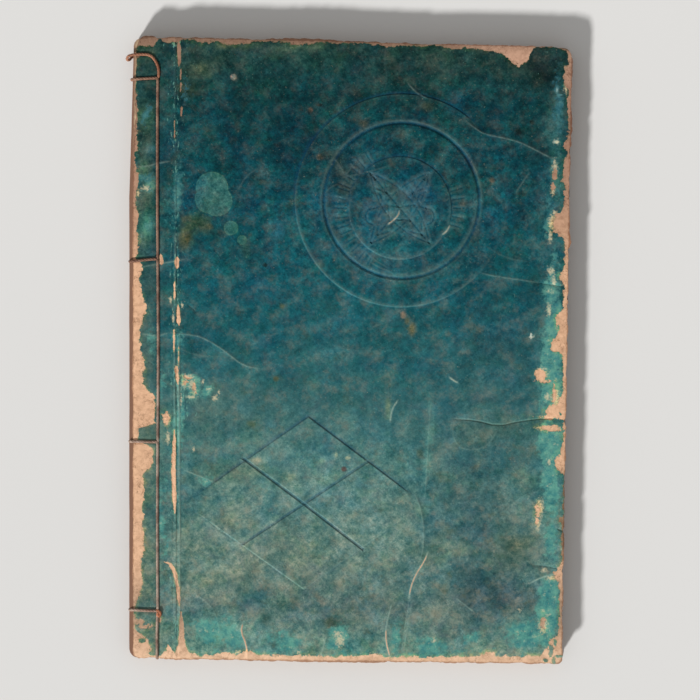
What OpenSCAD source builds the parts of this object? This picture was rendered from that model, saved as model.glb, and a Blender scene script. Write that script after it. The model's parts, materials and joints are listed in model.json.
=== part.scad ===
// Worn four-hole stab-bound book, closed, front cover up.
// X runs from the sewn spine edge to the fore-edge, Y from tail to head, Z up.
// The origin is the middle of the book on the underside of the back cover.

/* [Covers] */
// Width of a cover from spine edge to fore-edge
cover_w = 159; // [130:1:200]
// Height of a cover from tail to head
cover_h = 226; // [180:1:280]
// Thickness of one paper cover
cover_t = 0.8; // [0.6:0.05:1.2]
// Slant of the head edge, down towards the fore-edge
head_slant = 3.8; // [0:0.1:5]
// Slant of the tail edge, down towards the fore-edge
tail_slant = 1.8; // [0:0.1:4]
// Slant of the fore-edge, in towards the tail
fore_slant = 3.8; // [0:0.1:5]
// How far the spine edge is worn in at the head
spine_slant = 1.6; // [0:0.1:3]
// Length of the slanted stretch of the spine edge below the head
spine_slant_len = 56; // [20:1:80]
// Radius of the worn corner at the head and spine
head_spine_r = 3; // [1:0.5:6]
// Radius of the worn corner at the head and fore-edge
head_fore_r = 3.5; // [1:0.5:6]
// Radius of the worn corner at the tail and fore-edge
tail_fore_r = 2; // [1:0.5:6]
// Radius of the worn corner at the tail and spine
tail_spine_r = 3; // [1:0.5:6]
// How far the front cover is worn back from the spine edge
front_worn = 1.2; // [0:0.1:2]

/* [Text block] */
// Thickness of the closed book, covers included
book_t = 8; // [6:0.5:16]
// Overhang of the covers past the leaves at head, tail and fore-edge
overhang = 0.6; // [0:0.1:2]
// Groups of leaves that show as steps at the edges
leaf_groups = 8; // [4:1:12]
// How far a group of leaves lies out of line with the next
leaf_stagger = 0.35; // [0:0.05:0.5]

/* [Sewn margin] */
// Distance of the cover crease from the spine edge
crease_in = 16.6; // [15:0.1:24]
// How far the sewing presses the margin in on each face
pinch = 0.7; // [0.65:0.05:1]
// Width of the flat pressed strip, before it slopes up to the crease
flat_w = 12.5; // [11.5:0.1:14]
// Slit between a cover leaf and its sewn margin at the crease
crease_gap = 0.3; // [0.2:0.05:0.6]

/* [Thread] */
// Diameter of the binding thread
thread_d = 1; // [0.6:0.05:1.1]
// Diameter of the threads together in one hole
bundle_d = 1.5; // [1.3:0.05:2]
// Distance of the sewing line from the spine edge
sewing_in = 9.7; // [8.5:0.1:10]
// Distance of the first hole from the head
head_hole_in = 13.5; // [12:0.5:20]
// Distance of the last hole from the tail
tail_hole_in = 18.5; // [12:0.5:20]
// How far the second hole was pierced below even spacing
second_hole_off = 1.2; // [0:0.1:5]
// How far the third hole was pierced below even spacing
third_hole_off = 3.2; // [0:0.1:5]
// How deep the thread is pressed into the faces
face_sink = 0.4; // [0.3:0.05:0.45]
// How deep the thread is pressed into the spine and tail edges
edge_sink = 0.7; // [0.5:0.05:0.8]
// Bend radius of the thread round an edge, at its middle line
bend_r = 1; // [0.8:0.1:1.5]
// How far the slack head loop runs up from the first hole
loop_rise = 4; // [2:0.5:5]
// Turning radius of the slack head loop
loop_r = 4.6; // [3:0.1:6]
// How far the slack head loop stands off the spine edge
loop_slack = 2.3; // [1:0.1:4]
// Diameter of the lump of thread at the last hole
knot_d = 2.2; // [1.9:0.1:2.3]
// Clearance round the thread and the ties
thread_clear = 0.05; // [0.02:0.01:0.1]

/* [Paper ties] */
// Diameter of a twisted paper tie in its holes
tie_d = 1.2; // [0.8:0.1:1.6]
// Distance between the two holes of one tie
tie_span = 12; // [8:1:20]
// Distance of the ties from the spine edge
tie_in = 6; // [4:0.1:7]
// Thickness of a tie where it is hammered flat
tie_flat_t = 0.5; // [0.3:0.05:0.6]

/* [Pressed roundel] */
// Height of the raised roundel
roundel_rise = 0.2; // [0.1:0.05:0.3]
// Radius of the raised roundel
roundel_r = 38.8; // [32:0.1:42]
// Distance of the roundel's middle from the fore-edge
roundel_in = 60.5; // [50:0.5:75]
// Distance of the roundel's middle from the head
roundel_down = 58; // [48:0.5:70]
// Outer radius of the ring pressed into the roundel
ring_r = 29; // [24:0.1:31]
// Width of the pressed ring
ring_w = 1.4; // [0.6:0.1:2]
// Radius of the raised disc inside the ring
disc_r = 18.7; // [14:0.1:20]
// How far the disc sits below the middle of the ring
disc_drop = 2.7; // [0:0.1:3]
// Length of a leaf on the disc
sprig_len = 33; // [20:1:36]
// Width of a leaf on the disc
sprig_w = 10; // [8:1:14]
// Leaves side by side in each fan at the disc's sides
fan_blades = 5; // [3:1:7]

/* [Pressed lozenge] */
// Height of the raised lozenge
lozenge_rise = 0.15; // [0.1:0.05:0.3]
// Half of the lozenge's width
lozenge_a = 44.6; // [38:0.1:46]
// Half of the lozenge's height
lozenge_b = 31.4; // [26:0.1:36]
// Distance of the lozenge's middle from the crease
lozenge_in = 46.4; // [46:0.1:55]
// Distance of the lozenge's middle from the tail
lozenge_up = 57.5; // [48:0.5:75]
// Width of the grooves that quarter the lozenge
quarter_w = 0.9; // [0.5:0.1:1.5]

/* [Pressed lines] */
// Width of a fine pressed line
line_w = 0.5; // [0.4:0.1:0.8]
// Depth of a pressed line
line_deep = 0.2; // [0.1:0.05:0.3]

/* [Hidden] */
$fn = 64;

// Extra length that lets a cutting solid pass right through
past = 5;
// How finely a worn corner is drawn
corner_steps = 6;

// Edges of the covers and the places along X
spine_x = -cover_w / 2;
fore_x = cover_w / 2;
crease_x = spine_x + crease_in;
flat_end_x = spine_x + flat_w;
sewing_x = spine_x + sewing_in;
tie_x = spine_x + tie_in;
spine_outer_x = spine_x - spine_slant / 2;

// Levels of the faces
margin_top_z = book_t - pinch;
margin_bottom_z = pinch;
thread_top_z = margin_top_z + thread_d / 2 - face_sink;
thread_bottom_z = margin_bottom_z - thread_d / 2 + face_sink;

// Holes of the sewing from head to tail
head_hole_y = cover_h / 2 - head_hole_in;
tail_hole_y = -cover_h / 2 + tail_hole_in;
hole_step = (head_hole_y - tail_hole_y) / 3;
hole_ys = [
    head_hole_y,
    head_hole_y - hole_step - second_hole_off,
    head_hole_y - 2 * hole_step - third_hole_off,
    tail_hole_y
];
tie_upper_y = (hole_ys[0] + hole_ys[1]) / 2;
tie_lower_y = (hole_ys[2] + hole_ys[3]) / 2;

// Place of a point part of the way from a to b
function between(a, b, part) = a + (b - a) * part;

// Quarter of a circle round c that starts at the angle from
function corner(c, r, from) = [
    for (i = [0 : corner_steps])
        c + r * [cos(from + 90 * i / corner_steps), sin(from + 90 * i / corner_steps)]
];

// Outline of a cover, worn back by spine_in at the spine and by edge_in at the other edges
function outline(spine_in, edge_in) = concat(
    corner(
        [spine_outer_x + spine_in + tail_spine_r,
         -cover_h / 2 + tail_slant / 2 + edge_in + tail_spine_r],
        tail_spine_r, 180),
    corner(
        [fore_x - fore_slant / 2 - edge_in - tail_fore_r,
         -cover_h / 2 - tail_slant / 2 + edge_in + tail_fore_r],
        tail_fore_r, 270),
    corner(
        [fore_x + fore_slant / 2 - edge_in - head_fore_r,
         cover_h / 2 - head_slant / 2 - edge_in - head_fore_r],
        head_fore_r, 0),
    corner(
        [spine_x + spine_slant / 2 + spine_in + head_spine_r,
         cover_h / 2 + head_slant / 2 - edge_in - head_spine_r],
        head_spine_r, 90),
    [[spine_outer_x + spine_in, cover_h / 2 - spine_slant_len]]
);

// Place rounded to a hundredth of a millimetre, so that straight runs and bends meet exactly
function snap(place) = round(place * 100) / 100;

// Spine edge of the leaves at the height y
function spine_edge(y) = let (part = (y - cover_h / 2 + spine_slant_len) / spine_slant_len)
    snap(spine_outer_x + spine_slant * max(0, part));

// Tail edge of the leaves on the sewing line
tail_edge_y = snap(-cover_h / 2 + overhang
    + between(tail_slant / 2, -tail_slant / 2, sewing_in / cover_w));

// Upright block with the cover's outline
module slab(spine_in, edge_in, z_low, z_high) {
    translate([0, 0, z_low])
        linear_extrude(height = z_high - z_low)
            polygon(outline(spine_in, edge_in));
}

// Profile drawn in X and Z, drawn out along the whole height of the book
module along_spine(points) {
    translate([0, cover_h / 2 + past, 0])
        rotate([90, 0, 0])
            linear_extrude(height = cover_h + 2 * past)
                polygon(points);
}

// Round bar from point a along the axis named by turn
module bar(a, turn, length, d) {
    translate(a)
        rotate(turn)
            cylinder(h = length, d = d);
}

TO_HEAD = [-90, 0, 0];
TO_SPINE = [0, -90, 0];
UPWARD = [0, 0, 0];

// Quarter bend of thread in the plane of X and Y, round its own middle
module bend(r, d) {
    rotate_extrude(angle = 90)
        translate([r, 0])
            circle(d = d);
}

// Wrap round the spine at the height y, its upright run at edge_x
module spine_wrap(y, edge_x, from_x, d) {
    run = from_x - edge_x - bend_r;
    for (z = [thread_bottom_z, thread_top_z])
        bar([from_x, y, z], TO_SPINE, run, d);
    bar([edge_x, y, thread_bottom_z + bend_r], UPWARD,
        thread_top_z - thread_bottom_z - 2 * bend_r, d);
    translate([edge_x + bend_r, y, thread_top_z - bend_r])
        rotate([90, 0, 0])
            rotate([0, 0, 90])
                bend(bend_r, d);
    translate([edge_x + bend_r, y, thread_bottom_z + bend_r])
        rotate([90, 0, 0])
            rotate([0, 0, 180])
                bend(bend_r, d);
}

// Wrap round the tail on the sewing line
module tail_wrap(d) {
    edge_y = tail_edge_y + edge_sink - thread_d / 2;
    bar([sewing_x, edge_y, thread_bottom_z + bend_r], UPWARD,
        thread_top_z - thread_bottom_z - 2 * bend_r, d);
    translate([sewing_x, edge_y + bend_r, thread_top_z - bend_r])
        rotate([0, -90, 0])
            rotate([0, 0, -90])
                bend(bend_r, d);
    translate([sewing_x, edge_y + bend_r, thread_bottom_z + bend_r])
        rotate([0, -90, 0])
            rotate([0, 0, 180])
                bend(bend_r, d);
}

// Long runs on both faces, from the first hole to the tail
module long_runs(d) {
    low_y = tail_edge_y + edge_sink - thread_d / 2 + bend_r;
    for (z = [thread_bottom_z, thread_top_z])
        bar([sewing_x, low_y, z], TO_HEAD, hole_ys[0] - low_y, d);
}

// Slack loop at the head: up from the first hole, round to the spine edge and back underneath
module head_loop(d) {
    turn_y = hole_ys[0] + loop_rise;
    for (z = [thread_bottom_z, thread_top_z]) {
        bar([sewing_x, hole_ys[0], z], TO_HEAD, loop_rise, d);
        translate([sewing_x - loop_r, turn_y, z])
            bend(loop_r, d);
    }
    spine_wrap(turn_y + loop_r, spine_edge(turn_y + loop_r) - loop_slack, sewing_x - loop_r, d);
}

// Whole route of the thread, grown by extra for the grooves that it lies in
module thread_route(extra) {
    d = thread_d + extra;
    long_runs(d);
    tail_wrap(d);
    head_loop(d);
    for (y = hole_ys) {
        spine_wrap(y, spine_edge(y) + edge_sink - thread_d / 2, sewing_x, d);
        bar([sewing_x, y, thread_bottom_z], UPWARD,
            thread_top_z - thread_bottom_z, bundle_d + extra);
    }
    translate([sewing_x, tail_hole_y - knot_d / 4, thread_top_z])
        sphere(d = knot_d + extra);
}

// One twisted paper tie round the leaves at the height y, grown by extra
module tie_loop(y, extra) {
    low_z = margin_bottom_z + cover_t;
    high_z = margin_top_z - cover_t;
    flat_t = tie_flat_t + extra / 2;
    for (side = [-1, 1])
        bar([tie_x, y + side * tie_span / 2, low_z], UPWARD, high_z - low_z, tie_d + extra);
    for (z = [low_z, high_z - flat_t])
        translate([tie_x - tie_d / 2 - extra / 2, y - tie_span / 2, z])
            cube([tie_d + extra, tie_span, flat_t]);
}

// Stack of leaves in groups, each a little out of line with the next
module leaf_stack() {
    step = (book_t - 2 * cover_t) / leaf_groups;
    for (i = [0 : leaf_groups - 1])
        slab(0, overhang + leaf_stagger * (1 + sin(i * 137)) / 2,
            cover_t + i * step, cover_t + (i + 1) * step);
}

// Profile of the leaves: thinner in the sewn margin, full height from the crease on
module block_profile() {
    low_z = margin_bottom_z + cover_t;
    high_z = margin_top_z - cover_t;
    slope_x = crease_x - crease_gap / 2;
    along_spine([
        [spine_x - past, low_z], [flat_end_x, low_z], [slope_x, cover_t],
        [fore_x + past, cover_t], [fore_x + past, book_t - cover_t],
        [slope_x, book_t - cover_t], [flat_end_x, high_z], [spine_x - past, high_z]
    ]);
}

// Folded leaves, pierced for the thread and the two ties
module text_block() {
    color("wheat")
        difference() {
            intersection() {
                leaf_stack();
                block_profile();
            }
            thread_route(2 * thread_clear);
            tie_loop(tie_upper_y, 2 * thread_clear);
            tie_loop(tie_lower_y, 2 * thread_clear);
        }
}

module paper_tie_upper() {
    color("linen")
        tie_loop(tie_upper_y, 0);
}

module paper_tie_lower() {
    color("linen")
        tie_loop(tie_lower_y, 0);
}

// Sewn margin of the front cover, sloping up to the crease
module front_cover_margin() {
    slope_x = crease_x - crease_gap / 2;
    color("darkslategray")
        difference() {
            intersection() {
                slab(front_worn, 0, 0, book_t);
                along_spine([
                    [spine_x - past, margin_top_z - cover_t], [flat_end_x, margin_top_z - cover_t],
                    [slope_x, book_t - cover_t], [slope_x, book_t],
                    [flat_end_x, margin_top_z], [spine_x - past, margin_top_z]
                ]);
            }
            thread_route(2 * thread_clear);
        }
}

// Sewn margin of the back cover, sloping down to the crease
module back_cover_margin() {
    slope_x = crease_x - crease_gap / 2;
    color("darkslategray")
        difference() {
            intersection() {
                slab(0, 0, 0, book_t);
                along_spine([
                    [spine_x - past, margin_bottom_z], [flat_end_x, margin_bottom_z],
                    [slope_x, 0], [slope_x, cover_t],
                    [flat_end_x, margin_bottom_z + cover_t],
                    [spine_x - past, margin_bottom_z + cover_t]
                ]);
            }
            thread_route(2 * thread_clear);
        }
}

// Leaf of a cover, from the crease to the fore-edge
module cover_leaf(z_low) {
    leaf_x = crease_x + crease_gap / 2;
    intersection() {
        slab(0, 0, z_low, z_low + cover_t);
        translate([leaf_x, -cover_h / 2 - past, 0])
            cube([cover_w, cover_h + 2 * past, book_t]);
    }
}

// Ring-shaped groove round the middle, cut down from the face at z_face
module ring_groove(r, w, z_face) {
    translate([0, 0, z_face - line_deep])
        difference() {
            cylinder(h = 2 * line_deep, r = r);
            cylinder(h = 2 * line_deep, r = r - w);
        }
}

// Straight groove from point a to point b, cut down from the face at z_face
module line_groove(a, b, w, z_face) {
    run = b - a;
    translate([a[0], a[1], z_face - line_deep])
        rotate([0, 0, atan2(run[1], run[0])])
            translate([0, -w / 2, 0])
                cube([norm(run), w, 2 * line_deep]);
}

// Pointed leaf between two arcs, drawn along Y
module leaf_shape(length, width) {
    arc_r = (length * length + width * width) / width / 4;
    intersection() {
        translate([arc_r - width / 2, 0, 0])
            cylinder(h = 2 * line_deep, r = arc_r);
        translate([width / 2 - arc_r, 0, 0])
            cylinder(h = 2 * line_deep, r = arc_r);
    }
}

// Groove along the outline and the midrib of a leaf
module leaf_groove(length, width, z_face) {
    translate([0, 0, z_face - line_deep])
        difference() {
            leaf_shape(length, width);
            leaf_shape(length - 5 * line_w, width - 2 * line_w);
        }
    line_groove([0, -length / 2 + line_w], [0, length / 2 - line_w], line_w, z_face);
}

// Grooves that fan out across the band between the disc and the ring
module fan_grooves(z_face) {
    inner = disc_r + 2 * line_w;
    outer = ring_r - ring_w - disc_drop - 2 * line_w;
    for (side = [0, 180])
        for (i = [0 : fan_blades - 1]) {
            turn = side + 9 * (i - (fan_blades - 1) / 2);
            way = [cos(turn), sin(turn)];
            line_groove(inner * way, outer * way, line_w, z_face);
        }
}

// Grooves of the roundel, cut down from its own faces
module roundel_grooves() {
    face_z = cover_t / 2 + roundel_rise;
    disc_z = face_z + roundel_rise;
    ring_groove(ring_r, ring_w, face_z);
    translate([0, -disc_drop, 0]) {
        fan_grooves(face_z);
        for (turn = [-40, 40])
            rotate([0, 0, turn])
                leaf_groove(sprig_len, sprig_w, disc_z);
    }
}

// Raised roundel: a disc with a ring pressed into it and a second, smaller disc on top
module roundel() {
    face_z = cover_t / 2 + roundel_rise;
    translate([fore_x - roundel_in, cover_h / 2 - roundel_down, book_t - cover_t / 2])
        difference() {
            union() {
                cylinder(h = face_z, r = roundel_r);
                translate([0, -disc_drop, 0])
                    cylinder(h = face_z + roundel_rise, r = disc_r);
            }
            roundel_grooves();
        }
}

// Raised lozenge, quartered by two grooves that join the middles of its sides
module lozenge() {
    tips = [[lozenge_a, 0], [0, lozenge_b], [-lozenge_a, 0], [0, -lozenge_b]];
    face_z = cover_t / 2 + lozenge_rise;
    translate([crease_x + lozenge_in, -cover_h / 2 + lozenge_up, book_t - cover_t / 2])
        difference() {
            linear_extrude(height = face_z)
                polygon(tips);
            for (i = [0 : 1])
                line_groove((tips[i] + tips[i + 1]) / 2, (tips[i + 2] + tips[(i + 3) % 4]) / 2,
                    quarter_w, face_z);
        }
}

// Turning leaf of the front cover with its pressed figures
module front_cover() {
    color("teal") {
        cover_leaf(book_t - cover_t);
        roundel();
        lozenge();
    }
}

// Turning leaf of the back cover
module back_cover() {
    color("teal")
        cover_leaf(0);
}

// Sewing thread
module binding_thread() {
    color("tan")
        thread_route(0);
}

text_block();
paper_tie_upper();
paper_tie_lower();
front_cover_margin();
front_cover();
back_cover_margin();
back_cover();
binding_thread();
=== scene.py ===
import json
import math

import bpy
import numpy as np
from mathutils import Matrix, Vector
from mathutils.geometry import delaunay_2d_cdt


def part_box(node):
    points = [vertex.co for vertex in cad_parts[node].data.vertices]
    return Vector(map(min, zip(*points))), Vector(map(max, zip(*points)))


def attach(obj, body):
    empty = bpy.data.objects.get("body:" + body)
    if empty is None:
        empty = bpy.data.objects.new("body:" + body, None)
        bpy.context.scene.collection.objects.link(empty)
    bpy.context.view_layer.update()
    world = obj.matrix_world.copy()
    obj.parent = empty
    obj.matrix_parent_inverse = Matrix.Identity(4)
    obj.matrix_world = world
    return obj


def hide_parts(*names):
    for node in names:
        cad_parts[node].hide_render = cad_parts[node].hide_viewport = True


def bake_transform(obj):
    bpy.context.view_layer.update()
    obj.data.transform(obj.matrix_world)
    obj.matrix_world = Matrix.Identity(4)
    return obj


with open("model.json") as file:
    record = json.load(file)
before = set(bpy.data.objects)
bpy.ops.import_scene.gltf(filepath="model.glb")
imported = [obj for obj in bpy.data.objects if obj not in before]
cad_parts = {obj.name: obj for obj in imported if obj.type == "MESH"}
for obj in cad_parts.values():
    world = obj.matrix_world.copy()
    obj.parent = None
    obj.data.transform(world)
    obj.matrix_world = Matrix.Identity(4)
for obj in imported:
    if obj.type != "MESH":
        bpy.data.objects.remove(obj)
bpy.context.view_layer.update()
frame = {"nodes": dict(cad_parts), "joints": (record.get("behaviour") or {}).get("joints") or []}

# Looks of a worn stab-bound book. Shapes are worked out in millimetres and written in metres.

MM = 0.001
BLOCK_BODY = "sewn_block"

# The photograph looks straight down, so its pixels give places on the cover
PHOTO_SCALE = 0.364
PHOTO_ORIGIN = (349.3, 351.4)
PHOTO_SIZE = 700


def at(px, py):
    """Place on the cover, in millimetres, of a pixel of the photograph."""
    return ((px - PHOTO_ORIGIN[0]) * PHOTO_SCALE, (PHOTO_ORIGIN[1] - py) * PHOTO_SCALE)


def across(px):
    """Place across the cover, in millimetres, of a column of pixels."""
    return at(px, 0)[0]


def down(py):
    """Place up the cover, in millimetres, of a row of pixels."""
    return at(0, py)[1]


def path_at(*pixels):
    return np.array([at(px, py) for px, py in pixels])


def pixel_of(x, y):
    """Column and row of the photograph that show a place on the cover."""
    return x / PHOTO_SCALE + PHOTO_ORIGIN[0], PHOTO_ORIGIN[1] - y / PHOTO_SCALE


def oval(x, y, px, py, rx, ry):
    """Distance from a pixel's place, where 1 is rx millimetres across or ry millimetres up and down."""
    cx, cy = at(px, py)
    return np.hypot((x - cx) / rx, (y - cy) / ry)


# Sizes that come from the frame
def box_mm(node):
    low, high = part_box(node)
    return np.array(low) / MM, np.array(high) / MM


HINGES = {j["name"]: j for j in frame["joints"]}
CREASE_X = HINGES["front_cover_hinge"]["pos_m"][0] / MM
BOOK_T = box_mm("front_cover_margin")[1][2]
COVER_T = box_mm("back_cover")[1][2]
PINCH = box_mm("paper_tie_upper")[0][2] - COVER_T
SPINE_EDGE_X = box_mm("text_block")[0][0]
FLAT_END_X = -67.0  # where the strip that the sewing presses flat ends
SEWING_X = -69.8  # line of the holes
HOLE_ROWS = (78, 259, 442, 611)
HOLES_Y = [down(row) for row in HOLE_ROWS]


# Numbers that look random but are the same on each run
def lattice(seed, size=128):
    return np.random.default_rng(seed).random((size, size))


def value_noise(x, y, cell, seed):
    """Smooth noise from -1 to 1 with features of about cell millimetres."""
    grid = lattice(seed)
    size = len(grid)
    u, v = np.asarray(x) / cell + 37.2, np.asarray(y) / cell + 11.9
    i, j = np.floor(u).astype(int), np.floor(v).astype(int)
    f, g = u - i, v - j
    f, g = f * f * (3 - 2 * f), g * g * (3 - 2 * g)
    low = grid[i % size, j % size] * (1 - f) + grid[(i + 1) % size, j % size] * f
    high = grid[i % size, (j + 1) % size] * (1 - f) + grid[(i + 1) % size, (j + 1) % size] * f
    return 2 * (low * (1 - g) + high * g) - 1


def fractal(x, y, cell, seed, octaves=3):
    total, weight, norm = 0, 1.0, 0.0
    for k in range(octaves):
        total = total + weight * value_noise(x, y, cell / 2**k, seed + k)
        norm += weight
        weight *= 0.55
    return total / norm


def step(d, width):
    """0 below -width/2, 1 above width/2, smooth between."""
    t = np.clip(np.asarray(d) / width + 0.5, 0, 1)
    return t * t * (3 - 2 * t)


def bell(d, width):
    """1 where d is 0, falling off smoothly over width."""
    return np.exp(-((d / width) ** 2))


def path_distance(x, y, path):
    """Distance of each point to an open path, and how far along it the nearest place is, from 0 to 1."""
    best = np.full(np.shape(x), 1e9)
    share = np.zeros(np.shape(x))
    lengths = np.hypot(*np.diff(path, axis=0).T)
    total = lengths.sum()
    done = 0.0
    for (ax, ay), (bx, by), length in zip(path[:-1], path[1:], lengths):
        t = np.clip(((x - ax) * (bx - ax) + (y - ay) * (by - ay)) / max(length**2, 1e-9), 0, 1)
        d = np.hypot(x - ax - t * (bx - ax), y - ay - t * (by - ay))
        near = d < best
        best = np.where(near, d, best)
        share = np.where(near, (done + t * length) / total, share)
        done += length
    return best, share


def rounded(path, passes=2):
    """A path with its corners cut, so that it runs smoothly."""
    path = np.asarray(path, float)
    for _ in range(passes):
        a, b = path[:-1], path[1:]
        inner = np.stack([0.75 * a + 0.25 * b, 0.25 * a + 0.75 * b], 1).reshape(-1, path.shape[1])
        path = np.vstack([path[:1], inner, path[-1:]])
    return path


def spaced(path, gap, closed=False):
    """Points at an even gap along a path."""
    path = np.asarray(path, float)
    if closed:
        path = np.vstack([path, path[:1]])
    along = np.concatenate([[0], np.cumsum(np.linalg.norm(np.diff(path, axis=0), axis=1))])
    count = max(2, int(round(along[-1] / gap)))
    places = np.linspace(0, along[-1], count + 1)
    if closed:
        places = places[:-1]
    return np.stack([np.interp(places, along, path[:, k]) for k in range(path.shape[1])], 1)


def unit(vectors):
    return vectors / np.maximum(np.linalg.norm(vectors, axis=1, keepdims=True), 1e-9)


def left_of(run):
    """Unit vectors to the left of each direction."""
    run = unit(run)
    return np.stack([-run[:, 1], run[:, 0]], 1)


def beside(path, offset):
    """A path moved sideways by offset."""
    return path + offset * left_of(np.gradient(path, axis=0))


def both_sides(path, *offsets):
    return [beside(path, way * offset) for offset in offsets for way in (1, -1)]


# Outlines
def hull(points):
    """Convex outline of points, turning left."""
    points = sorted(set(map(tuple, np.round(points, 4))))

    def chain(some):
        out = []
        for p in some:
            while len(out) > 1:
                (ax, ay), (bx, by) = out[-2], out[-1]
                if (bx - ax) * (p[1] - ay) - (by - ay) * (p[0] - ax) > 0:
                    break
                out.pop()
            out.append(p)
        return out[:-1]

    return np.array(chain(points) + chain(points[::-1]))


def node_outline(*names):
    points = [np.array([v.co[:2] for v in frame["nodes"][n].data.vertices]) / MM for n in names]
    return hull(np.vstack(points))


def inner_distance(x, y, outline):
    """How far inside a convex outline each point lies."""
    best = np.full(np.shape(x), 1e9)
    for a, b in zip(outline, np.roll(outline, -1, axis=0)):
        run = b - a
        length = np.hypot(*run)
        if length > 1e-6:
            best = np.minimum(best, ((y - a[1]) * run[0] - (x - a[0]) * run[1]) / length)
    return best


def inward(outline):
    """Unit vectors that point inwards from each point of an outline that turns left."""
    return left_of(np.roll(outline, -1, axis=0) - np.roll(outline, 1, axis=0))


# Nicks in the edge go in, flakes stand out: place, half length and depth in millimetres
NICKS = [(at(px, py), reach, depth) for px, py, reach, depth in (
    (159, 37, 1.3, 0.9), (135, 37, 2.2, 0.7), (188, 38, 2.5, 0.3), (258, 38, 4.0, 0.35),
    (566, 47, 3.4, 1.0), (384, 41, 1.0, 0.5), (420, 42, 5.0, 0.3), (148, 659, 4.0, 0.5),
    (247, 662, 1.0, 0.3), (388, 663, 1.0, 0.5), (430, 664, 2.0, 0.3), (520, 664, 2.2, 0.4),
    (572, 152, 1.2, 0.7), (573, 190, 6.0, 0.4), (571, 252, 2.0, 0.6), (569, 300, 3.0, 0.4),
    (566, 372, 1.6, 0.4), (565, 421, 1.5, 0.9), (564, 485, 4.0, 0.5), (563, 531, 0.9, 0.7),
    (563, 571, 1.2, 0.5), (562, 612, 3.0, 0.3), (129, 260, 1.0, 0.5), (129, 442, 1.0, 0.5),
    (129, 611, 1.3, 0.6), (129, 330, 2.0, 0.3), (129, 540, 3.0, 0.3), (575, 125, 3.0, -0.5),
    (571, 243, 2.6, -0.6), (146, 36, 3.5, -0.3), (300, 38, 18.0, -0.7),
    (330, 663, 34.0, -0.45), (569, 302, 0.7, -0.5), (567, 330, 2.0, -0.3),
)]


def ragged(outline, gap, rough, seed, nicks=()):
    """An outline with a worn edge, its points at an even gap."""
    points = spaced(outline, gap, closed=True)
    x, y = points.T
    cut = rough * (0.5 + 0.5 * fractal(x, y, 7, seed)) ** 1.5
    cut = cut + rough * (0.3 * value_noise(x, y, 2.3, seed + 5) + 0.35 * value_noise(x, y, 0.9, seed + 9))
    for (nx, ny), reach, depth in nicks:
        cut = cut + depth * bell(np.hypot(x - nx, y - ny), reach)
    return points + inward(points) * cut[:, None]


# Relief of the front cover, in millimetres above its plain face
ROUNDEL = at(401.6, 200.5)
ROUNDEL_R = 38.8
RING_OUTER, RING_INNER = 29.0, 27.6
DISC = at(400, 208)
DISC_R = 18.7
PLATE_RISE = 0.32
DISC_RISE = 0.26
RING_DEPTH = 0.36
SLOPE_W = 0.5
LOZENGE = at(303.9, 503.6)
LOZENGE_TIPS = path_at((423.5, 503.6), (308.4, 417), (184.3, 503.6), (303.9, 589.3))


def leaf_lines(middle, length, width, turn, ribs):
    """Outline, midrib and side ribs of a pointed leaf."""
    t = np.linspace(-1, 1, 15)
    side = width / 2 * (1 - t * t)
    c, s = math.cos(turn), math.sin(turn)
    lines = [(side, t * length / 2), (-side, t * length / 2), (0 * t, t * length / 2)]
    for k in range(ribs):
        foot = (k + 0.6) / ribs * 2 - 1
        tip = min(foot + 0.26, 0.97)
        for way in (-1, 1):
            reach = way * width / 2 * (1 - tip * tip) * 0.85
            lines.append((np.array([0, reach]), np.array([foot, tip]) * length / 2))
    return [np.stack([middle[0] + c * u - s * v, middle[1] + s * u + c * v], 1) for u, v in lines]


def arc(middle, radius, start, end, count=12):
    turns = np.radians(np.linspace(start, end, count))
    return np.stack([middle[0] + radius * np.cos(turns), middle[1] + radius * np.sin(turns)], 1)


def crest_lines():
    """Grooves on the disc: two crossed leaves, scallops beside them and a fan at each side."""
    lines = []
    for turn in (-40, 40):
        lines += leaf_lines(DISC, 33, 10, math.radians(turn), 5)
    for side in (0, 140, 180, 222):
        for k in range(5):
            turn = math.radians(side + 9 * (k - 2))
            way = np.array([math.cos(turn), math.sin(turn)])
            lines.append(np.array([DISC + way * (DISC_R + 0.8), DISC + way * (RING_INNER - 4.2)]))
    for side in (0, 180):
        for k in (-1, 1):
            foot = DISC + np.array([math.cos(math.radians(side)) * 9.5, k * 3.0])
            lines.append(arc(foot, 3.0, side + 90 - 180 * (k < 0), side + 270 - 180 * (k < 0)))
    return lines


# Straight grooves that quarter the lozenge, from side to side
QUARTER_LINES = [
    path_at((244.1, 458.9), (303.9, 503.6), (362.9, 549.1)),
    path_at((367.3, 461.6), (303.9, 503.6), (241.4, 544.6)),
]
QUARTER_W = 0.95

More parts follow.
